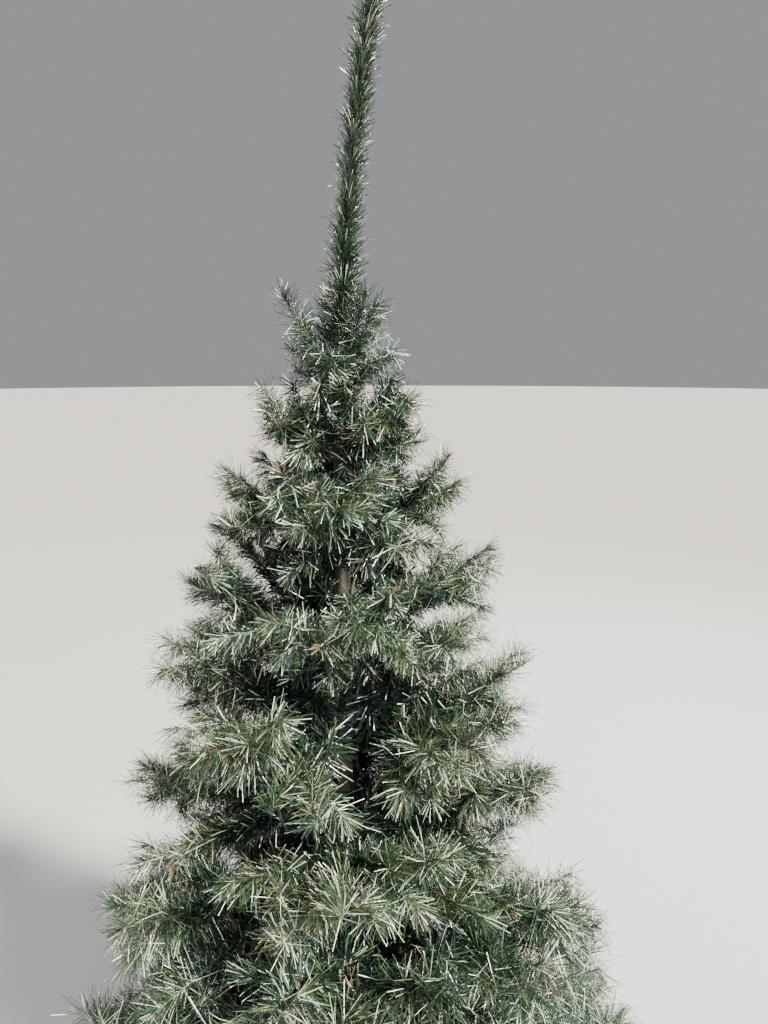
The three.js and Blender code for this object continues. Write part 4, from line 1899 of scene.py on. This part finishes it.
@dataclass
class Pole:
    """Two painted steel tubes, the upper one plugged into the lower one.

    Attributes:
        collar_half: Half a collar's height, without its necks.
        bead: How far the rolled bead stands out under the split.
        bead_from: How far under the split it starts.
        bead_to: How far under the split it ends.
        plug: How deep the lower tube is open for the upper one.
    """

    collar_radius: ClassVar[float] = 17.0
    collar_half: ClassVar[float] = 7.0
    top: ClassVar[float] = 1312.0
    foot: float = 34.3
    split: float = 850.0
    lower_radius: float = 11.0
    upper_radius: float = 9.5
    bead: float = 1.3
    bead_from: float = 26.0
    bead_to: float = 16.0
    bead_slope: float = 3.0
    plug: float = 30.0
    sides: int = 28

    def build(self) -> None:
        """Makes the two tubes and the collars."""
        paint = CoatedSteel("pole_steel_stove_enamelled", "#30271d", "#4a3e30", 0.5).material()
        lower = Shape()
        lower.lathe(self.lower_profile(), self.sides)
        dressed(lower.made("pole_lower_tube"), paint, ["pole_lower"])
        upper = Shape()
        upper.lathe(self.upper_profile(), self.sides)
        dressed(upper.made("pole_upper_tube"), paint, ["pole_upper"])
        collars = Shape()
        for tier in TIERS:
            tube = self.lower_radius if tier.height < self.split else self.upper_radius
            profile = [(radius, tier.height + z) for radius, z in self.collar_profile(tube)]
            collars.lathe(profile, self.sides)
        piece = collars.made("branch_collars")
        dressed(piece, paint, ["pole_lower", "pole_upper"])

    def lower_profile(self) -> list[tuple[float, float]]:
        """Draws the lower tube, with a bead under its open end.

        Returns:
            Pairs of radius and height.
        """
        radius, bore, split = self.lower_radius, self.upper_radius + 0.1, self.split
        return [
            (0, self.foot),
            (radius - 1, self.foot),
            (radius, self.foot + 1),
            (radius, split - self.bead_from),
            (radius + self.bead, split - self.bead_from + self.bead_slope),
            (radius + self.bead, split - self.bead_to - self.bead_slope),
            (radius, split - self.bead_to),
            (radius, split - 1),
            (radius - 0.6, split),
            (bore, split),
            (bore, split - self.plug),
            (0, split - self.plug),
        ]

    def upper_profile(self) -> list[tuple[float, float]]:
        """Draws the upper tube, with a rounded end.

        Returns:
            Pairs of radius and height.
        """
        radius, start = self.upper_radius, self.split - self.plug + 1
        return [
            (0, start),
            (radius, start),
            (radius, self.top - 2),
            (radius - 0.7, self.top - 0.6),
            (radius - 2, self.top),
            (0, self.top),
        ]

    def collar_profile(self, tube: float) -> list[tuple[float, float]]:
        """Draws a collar: a rolled ring with a groove round its waist.

        Args:
            tube: The radius of the pole there.

        Returns:
            Pairs of radius and height over the collar's middle.
        """
        outer, half = self.collar_radius, self.collar_half
        above = [
            (outer - 1.2, 1.8),
            (outer, 2.6),
            (outer, half - 1.3),
            (outer - 1.1, half),
            (outer - 3.2, half + 0.6),
            (tube + 0.9, half + 2.2),
            (tube - 0.2, half + 2.6),
        ]
        return [(radius, -z) for radius, z in reversed(above)] + above


# The stand.


def even_turns(first: float, count: int) -> list[Matrix]:
    """Returns turns about the pole, evenly round from a bearing in degrees."""
    return [Matrix.Rotation(math.radians(first + 360 * k / count), 4, "Z") for k in range(count)]


def laid_out(turn: Matrix, height: float) -> Matrix:
    """Returns the place of a turned shape whose axis points out from the pole."""
    return turn @ Matrix.Translation((0, 0, height)) @ Matrix.Rotation(math.pi / 2, 4, "Y")


@dataclass
class Stand:
    """The steel stand: a socket tube, four pressed legs, plastic feet and thumbscrews."""

    legs: int = 4
    first_bearing: float = 45.0
    screws: int = 3
    screw_bearing: float = 90.0

    def build(self) -> None:
        """Makes the pieces of the stand."""
        green = CoatedSteel(
            "stand_steel_powder_coated", "#20342a", "#33493c", 0.42, peel=1.3, patch=48.0
        )
        paint = green.material()
        plastic = MouldedPolypropylene().material()
        zinc = ZincPlate().material()
        screw_turns = even_turns(self.screw_bearing, self.screws)
        dressed(Socket().made(screw_turns), paint, ["stand_socket"])
        for number, turn in enumerate(even_turns(self.first_bearing, self.legs), start=1):
            leg = Leg().made(f"stand_leg_{number}_channel", turn)
            dressed(leg, paint, [f"stand_leg_{number}"])
            cap = FootCap().made(f"foot_cap_{number}_moulding", turn)
            dressed(cap, plastic, [f"foot_cap_{number}"])
        for number, turn in enumerate(screw_turns, start=1):
            screw = Thumbscrew().made(f"thumbscrew_{number}_wing", turn)
            dressed(screw, zinc, [f"thumbscrew_{number}"])


@dataclass
class Socket:
    """The tube that holds the pole, with a rolled rim and a nut welded at each screw.

    Attributes:
        rim: The radius of the rim's roll.
        roll_step: The angle from one point of the roll to the next, in degrees.
    """

    radius: float = 16.0
    bore: float = 11.3
    bottom: float = 30.0
    floor: float = 4.0
    top: float = 150.0
    rim: float = 2.0
    roll_step: int = 20
    sides: int = 48
    nut_bore: float = 3.3
    nut_radius: float = 6.6
    nut_depth: float = 5.0
    nut_chamfer: float = 0.6

    def made(self, screw_turns: Iterable[Matrix]) -> bpy.types.Object:
        """Makes the socket.

        Args:
            screw_turns: The turn about the pole of each screw.

        Returns:
            The piece.
        """
        shape = Shape()
        radius, top, rim = self.radius, self.top, self.rim
        roll = [
            (radius + rim * math.sin(angle), top - 2 * rim - rim * math.cos(angle) + rim)
            for angle in map(math.radians, range(self.roll_step, 181, self.roll_step))
        ]
        tube = [
            (0, self.bottom),
            (radius - 1.5, self.bottom),
            (radius, self.bottom + 1.5),
            (radius, top - 3 * rim - 1),
            *roll,
            (self.bore + 0.8, top),
            (self.bore, top - 0.8),
            (self.bore, self.bottom + self.floor),
            (0, self.bottom + self.floor),
        ]
        shape.lathe(tube, self.sides)
        face = radius + self.nut_depth
        nut = [
            (self.nut_bore, radius - 1),
            (self.nut_radius, radius - 1),
            (self.nut_radius, face - self.nut_chamfer),
            (self.nut_radius - self.nut_chamfer, face),
            (self.nut_bore, face),
        ]
        for turn in screw_turns:
            shape.lathe(nut, 6, laid_out(turn, Thumbscrew.height))
        return shape.made("stand_socket_tube")


@dataclass
class Leg:
    """A channel pressed from sheet: rounded shoulders, plain lower edges and a long rib.

    Attributes:
        root: How far from the pole's middle the leg starts.
        knee: How far from the pole's middle its slope ends.
        shoulder: The length of its level start.
        corner_most: The most of its height that a corner takes.
        corner_middle: Where the middle of a corner lies, as a share of its size.
        rib_half: Half the rib's width at the back.
        rib_bed: Half the width of the rib's bed.
        rib_from: How far from the root the rib starts.
        rib_to: How far before the knee the rib ends.
        rib_slope: The length over which the rib gets its depth.
    """

    root: float = 16.3
    reach: float = 246.0
    knee: float = 206.0
    shoulder: float = 20.0
    half_width: float = 11.0
    wall: float = 2.0
    corner: float = 4.0
    corner_most: float = 0.4
    corner_middle: float = 0.3
    root_top: float = 84.0
    root_bottom: float = 52.0
    foot_top: float = 15.0
    foot_bottom: float = 4.3
    rib_depth: float = 1.3
    rib_half: float = 4.2
    rib_bed: float = 2.6
    rib_from: float = 26.0
    rib_to: float = 4.0
    rib_slope: float = 14.0

    def top_at(self, x: float) -> float:
        """Finds the height of the leg's back.

        Args:
            x: The distance from the pole.

        Returns:
            The height.
        """
        if x < self.root + self.shoulder:
            return self.root_top
        share = min((x - self.root - self.shoulder) / (self.knee - self.root - self.shoulder), 1)
        return mix(self.root_top, self.foot_top, share)

    def bottom_at(self, x: float) -> float:
        """Returns the height of the leg's lower edge at a distance from the pole."""
        share = min((x - self.root) / (self.knee - self.root), 1)
        return mix(self.root_bottom, self.foot_bottom, share)

    def rib_at(self, x: float) -> float:
        """Finds the depth of the rib.

        Args:
            x: The distance from the pole.

        Returns:
            The depth.
        """
        before = max(0.0, (x - self.root - self.rib_from) / self.rib_slope)
        after = max(0.0, (self.knee - x - self.rib_to) / self.rib_slope)
        return self.rib_depth * min(1.0, before, after)

    def section(self, x: float, inset: float) -> list[Vector]:
        """Draws the section of the channel, from one lower edge to the other.

        Args:
            x: The distance from the pole.
            inset: The depth under the outer face.

        Returns:
            The section's points.
        """
        wide = self.half_width - inset
        top, low = self.top_at(x) - inset, self.bottom_at(x)
        corner = min(self.corner, (top - low) * self.corner_most)
        middle = corner * self.corner_middle
        half = [
            (wide, low),
            (wide, top - corner),
            (wide - middle, top - middle),
            (wide - corner, top),
            (self.rib_half, top),
            (self.rib_bed, top - self.rib_at(x)),
        ]
        points = half + [(-y, z) for y, z in reversed(half)]
        return [Vector((x, y, z)) for y, z in points]

    def stations(self) -> list[float]:
        """Spaces the leg's sections, closely at its bends.

        Returns:
            Their distances from the pole.
        """
        root, bend, knee = self.root, self.root + self.shoulder, self.knee
        slope = [mix(bend + 10, knee - 6, k / 9) for k in range(10)]
        start = [root, root + 8, bend - 3, bend, bend + 3]
        return start + slope + [knee - 2, knee, knee + 3, self.reach - 12, self.reach]

    def made(self, name: str, turn: Matrix) -> bpy.types.Object:
        """Makes the leg at its bearing.

        Args:
            name: The piece's name.
            turn: Its turn about the pole.

        Returns:
            The piece.
        """
        shape = Shape()
        stations = self.stations()
        outer = [shape.ring(turn @ p for p in self.section(x, 0)) for x in stations]
        inner = [shape.ring(turn @ p for p in self.section(x, self.wall)) for x in stations]
        for lower, upper in zip(outer, outer[1:]):
            shape.band(lower, upper, closed=False)
        for lower, upper in zip(inner, inner[1:]):
            shape.band(upper, lower, closed=False)
        for near in range(len(stations) - 1):
            far = near + 1
            for edge in (0, -1):
                lip = (outer[near][edge], outer[far][edge], inner[far][edge], inner[near][edge])
                shape.faces.append(lip if edge else tuple(reversed(lip)))
        for station, flip in ((0, False), (-1, True)):
            out, within = outer[station], inner[station]
            for i in range(len(out) - 1):
                end = (out[i], out[i + 1], within[i + 1], within[i])
                shape.faces.append(tuple(reversed(end)) if flip else end)
        return shape.made(name)


@dataclass
class FootCap:
    """The moulded foot, with rounded edges and grip ribs.

    Attributes:
        start: How far from the pole's middle the cap starts.
        rib_depth: How far the grooves between the ribs go in.
    """

    start: float = 211.0
    end: float = 251.0
    half_width: float = 15.0
    height: float = 20.0
    corner: float = 5.0
    corner_steps: int = 5
    ribs: int = 4
    first_rib: float = 3.5
    rib_pitch: float = 3.2
    rib_depth: float = 0.55

    def outline(self, inset: float) -> list[tuple[float, float]]:
        """Draws the cap's outline seen from above.

        Args:
            inset: The depth under the outer face.

        Returns:
            The outline's points.
        """
        corner, steps = self.corner, self.corner_steps
        near, far, wide = self.start + inset, self.end - inset, self.half_width - inset
        points = [(near + 1, -wide)]
        for middle, first in ((corner - wide, -90), (wide - corner, 0)):
            for k in range(steps + 1):
                turn = math.radians(first + 90 / steps * k)
                x = far - corner + corner * math.cos(turn)
                points.append((x, middle + corner * math.sin(turn)))
        points += [(near + 1, wide), (near, wide - 1), (near, 1 - wide)]
        return points

    def levels(self) -> list[tuple[float, float]]:
        """Draws the cap's side from its underside up.

        Returns:
            Pairs of inset and height.
        """
        levels = [(1.0, 0.0), (0.0, 1.0)]
        for k in range(self.ribs):
            z = self.first_rib + self.rib_pitch * k
            levels += [(0.0, z), (self.rib_depth, z + 0.5)]
            levels += [(self.rib_depth, z + 1.1), (0.0, z + 1.6)]
        top = self.height
        return levels + [(0.0, top - 2.6), (0.5, top - 1.0), (1.6, top - 0.2), (2.6, top)]

    def made(self, name: str, turn: Matrix) -> bpy.types.Object:
        """Makes the cap at its leg's bearing.

        Args:
            name: The piece's name.
            turn: Its turn about the pole.

        Returns:
            The piece.
        """
        shape = Shape()
        shape.loft(
            [
                shape.ring(turn @ Vector((x, y, z)) for x, y in self.outline(inset))
                for inset, z in self.levels()
            ]
        )
        return shape.made(name)


@dataclass
class Thumbscrew:
    """A thumbscrew with a cut thread and a pressed wing, its point against the pole.

    Attributes:
        point: How far the screw's point is from the pole's middle.
        length: Its length to the head's face.
        thread_from: How far from the point the thread starts.
        thread_to: How far before the head's face the thread ends.
        wing_half: Half the wing's width.
        wing_rise: Half the wing's height.
        wing_sink: How far the wing goes into the head.
        waist: The depth of the dip in the wing's outer edge, as a share of its height.
        waist_half: Half the width of the dip, as a share of the wing's.
        wing_edge: Rings of the wing from face to face, each a share of its size and
            of half its thickness.
    """

    height: ClassVar[float] = 118.0
    point: float = 11.3
    length: float = 34.0
    radius: float = 3.0
    sides: int = 20
    pitch: float = 1.25
    thread_depth: float = 0.55
    thread_from: float = 0.8
    thread_to: float = 6.0
    wing_half: float = 13.0
    wing_rise: float = 6.5
    wing_thickness: float = 3.2
    wing_sink: float = 2.0
    wing_sides: int = 36
    waist: float = 0.28
    waist_half: float = 0.34
    wing_edge: tuple[tuple[float, float], ...] = (
        (0.86, -1.0),
        (1.0, -0.45),
        (1.0, 0.45),
        (0.86, 1.0),
    )

    def made(self, name: str, turn: Matrix) -> bpy.types.Object:
        """Makes the screw at its bearing.

        Args:
            name: The piece's name.
            turn: Its turn about the pole.

        Returns:
            The piece.
        """
        shape = Shape()
        lay = laid_out(turn, self.height)
        shape.lathe(self.profile(), self.sides, lay)
        shape.loft([shape.ring(self.wing_ring(*edge, lay)) for edge in self.wing_edge])
        return shape.made(name)

    def profile(self) -> list[tuple[float, float]]:
        """Draws the shank with its thread and the head.

        Returns:
            Pairs of radius and distance along the axis.
        """
        head = self.point + self.length
        profile = [(0.0, self.point), (self.radius - 1, self.point)]
        z = self.point + self.thread_from
        while z < head - self.thread_to:
            root = (self.radius - self.thread_depth, z + self.pitch / 2)
            profile += [(self.radius, z), root]
            z += self.pitch
        profile += [
            (self.radius, head - 5),
            (self.radius + 2, head - 4),
            (self.radius + 2, head - 0.8),
            (self.radius + 1.3, head),
            (0.0, head),
        ]
        return profile

    def wing_ring(self, share: float, side: float, lay: Matrix) -> list[Vector]:
        """Draws one ring of the wing.

        Args:
            share: The share of the wing's size that the ring has.
            side: Its place through the thickness, from -1 to 1.
            lay: The place of the screw.

        Returns:
            The ring's points.
        """
        middle = self.point + self.length + self.wing_rise - self.wing_sink
        ring = []
        for angle in ring_angles(self.wing_sides):
            dip = math.exp(-((math.cos(angle) / self.waist_half) ** 2)) * (math.sin(angle) > 0)
            y = self.wing_half * share * math.cos(angle)
            x = self.wing_rise * share * math.sin(angle) * (1 - self.waist * dip)
            ring.append(lay @ Vector((y, side * (self.wing_thickness / 2), middle + x)))
        return ring


# The studio.


@dataclass(frozen=True)
class SoftLight:
    """A square light that points at the middle of the crown, in metres and watts."""

    name: str
    colour: str
    bearing: float
    height: float
    distance: float
    size: float
    power: float
    aim_height: float = 0.95

    def build(self) -> None:
        """Makes the light."""
        data = bpy.data.lights.new(self.name, "AREA")
        data.size = self.size
        data.energy = self.power
        data.color = linear(self.colour)[:3]
        lamp = placed(self.name, data)
        lamp.location = bearing_point(math.radians(self.bearing), self.distance, self.height)
        aim = Vector((0, 0, self.aim_height)) - lamp.location
        lamp.rotation_euler = aim.to_track_quat("-Z", "Y").to_euler()


@dataclass(frozen=True)
class DistantLight:
    """The main light: soft, and as strong near and far.

    Attributes:
        bearing: The bearing that it comes from, in degrees.
        elevation: How high it stands, in degrees.
        distance: Where its object stands, in metres, which its light doesn't feel.
    """

    name: str = "key"
    bearing: float = 313.0
    elevation: float = 41.0
    spread: float = 7.0
    strength: float = 30.0
    colour: str = "#fff8ee"
    distance: float = 4.0

    def build(self) -> None:
        """Makes the light."""
        data = bpy.data.lights.new(self.name, "SUN")
        data.angle = math.radians(self.spread)
        data.energy = self.strength
        data.color = linear(self.colour)[:3]
        lamp = placed(self.name, data)
        rise = math.radians(self.elevation)
        towards = bearing_point(math.radians(self.bearing), math.cos(rise), math.sin(rise))
        lamp.location = towards * self.distance
        lamp.rotation_euler = (-towards).to_track_quat("-Z", "Y").to_euler()


@dataclass
class Studio:
    """The camera where the photograph was taken, a pale floor and soft lights.

    Attributes:
        focal_pixels: The camera's focal length in pixels of the photograph.
        eye: Where the camera stands, in metres.
        pitch: How far it looks down, in degrees.
        yaw: How far it looks to the right, in degrees.
    """

    image_height: int = 1024
    focal_pixels: float = 742.0
    eye: tuple[float, float, float] = (0.0, -0.87, 1.38)
    pitch: float = 11.6
    yaw: float = 3.3
    sensor: float = 36.0
    floor_radius: float = 40.0
    floor_sides: int = 64
    key: DistantLight = DistantLight()
    others: tuple[SoftLight, ...] = (
        SoftLight("fill", "#f6f8ff", bearing=286, height=2.1, distance=2.6, size=1.2, power=170),
        SoftLight("back", "#fbfcff", bearing=50, height=3.0, distance=3.0, size=1.2, power=380),
    )
    sky_colour: str = "#e9ebed"
    sky_strength: float = 0.4

    def build(self) -> None:
        """Makes the camera, the floor, the lights and the sky."""
        self.build_camera()
        self.build_floor()
        self.key.build()
        for light in self.others:
            light.build()
        self.build_sky()

    def build_camera(self) -> None:
        """Makes the camera."""
        data = bpy.data.cameras.new("camera")
        data.sensor_width = self.sensor
        data.lens = self.focal_pixels / self.image_height * self.sensor
        camera = placed("camera", data)
        camera.location = self.eye
        camera.rotation_euler = (math.radians(90 - self.pitch), 0, -math.radians(self.yaw))
        bpy.context.scene.camera = camera

    def build_floor(self) -> None:
        """Makes the floor."""
        shape = Shape()
        reach = self.floor_radius / MM
        ring = shape.ring(bearing_point(a, reach, 0) for a in ring_angles(self.floor_sides))
        shape.faces.append(tuple(ring))
        floor = shape.made("studio_floor", smooth=False)
        floor.data.materials.append(RolledPaint().material())

    def build_sky(self) -> None:
        """Makes the even sky."""
        world = bpy.data.worlds.new("studio_sky")
        world.use_nodes = True
        sky = next(node for node in world.node_tree.nodes if node.type == "BACKGROUND")
        sky.inputs["Color"].default_value = linear(self.sky_colour)
        sky.inputs["Strength"].default_value = self.sky_strength
        bpy.context.scene.world = world


def main() -> None:
    """Builds the scene in order."""
    logging.basicConfig(level=logging.INFO, format="%(name)s %(message)s")
    Studio().build()
    Pole().build()
    Stand().build()
    Crown().build()


if __name__ == "__main__":
    main()
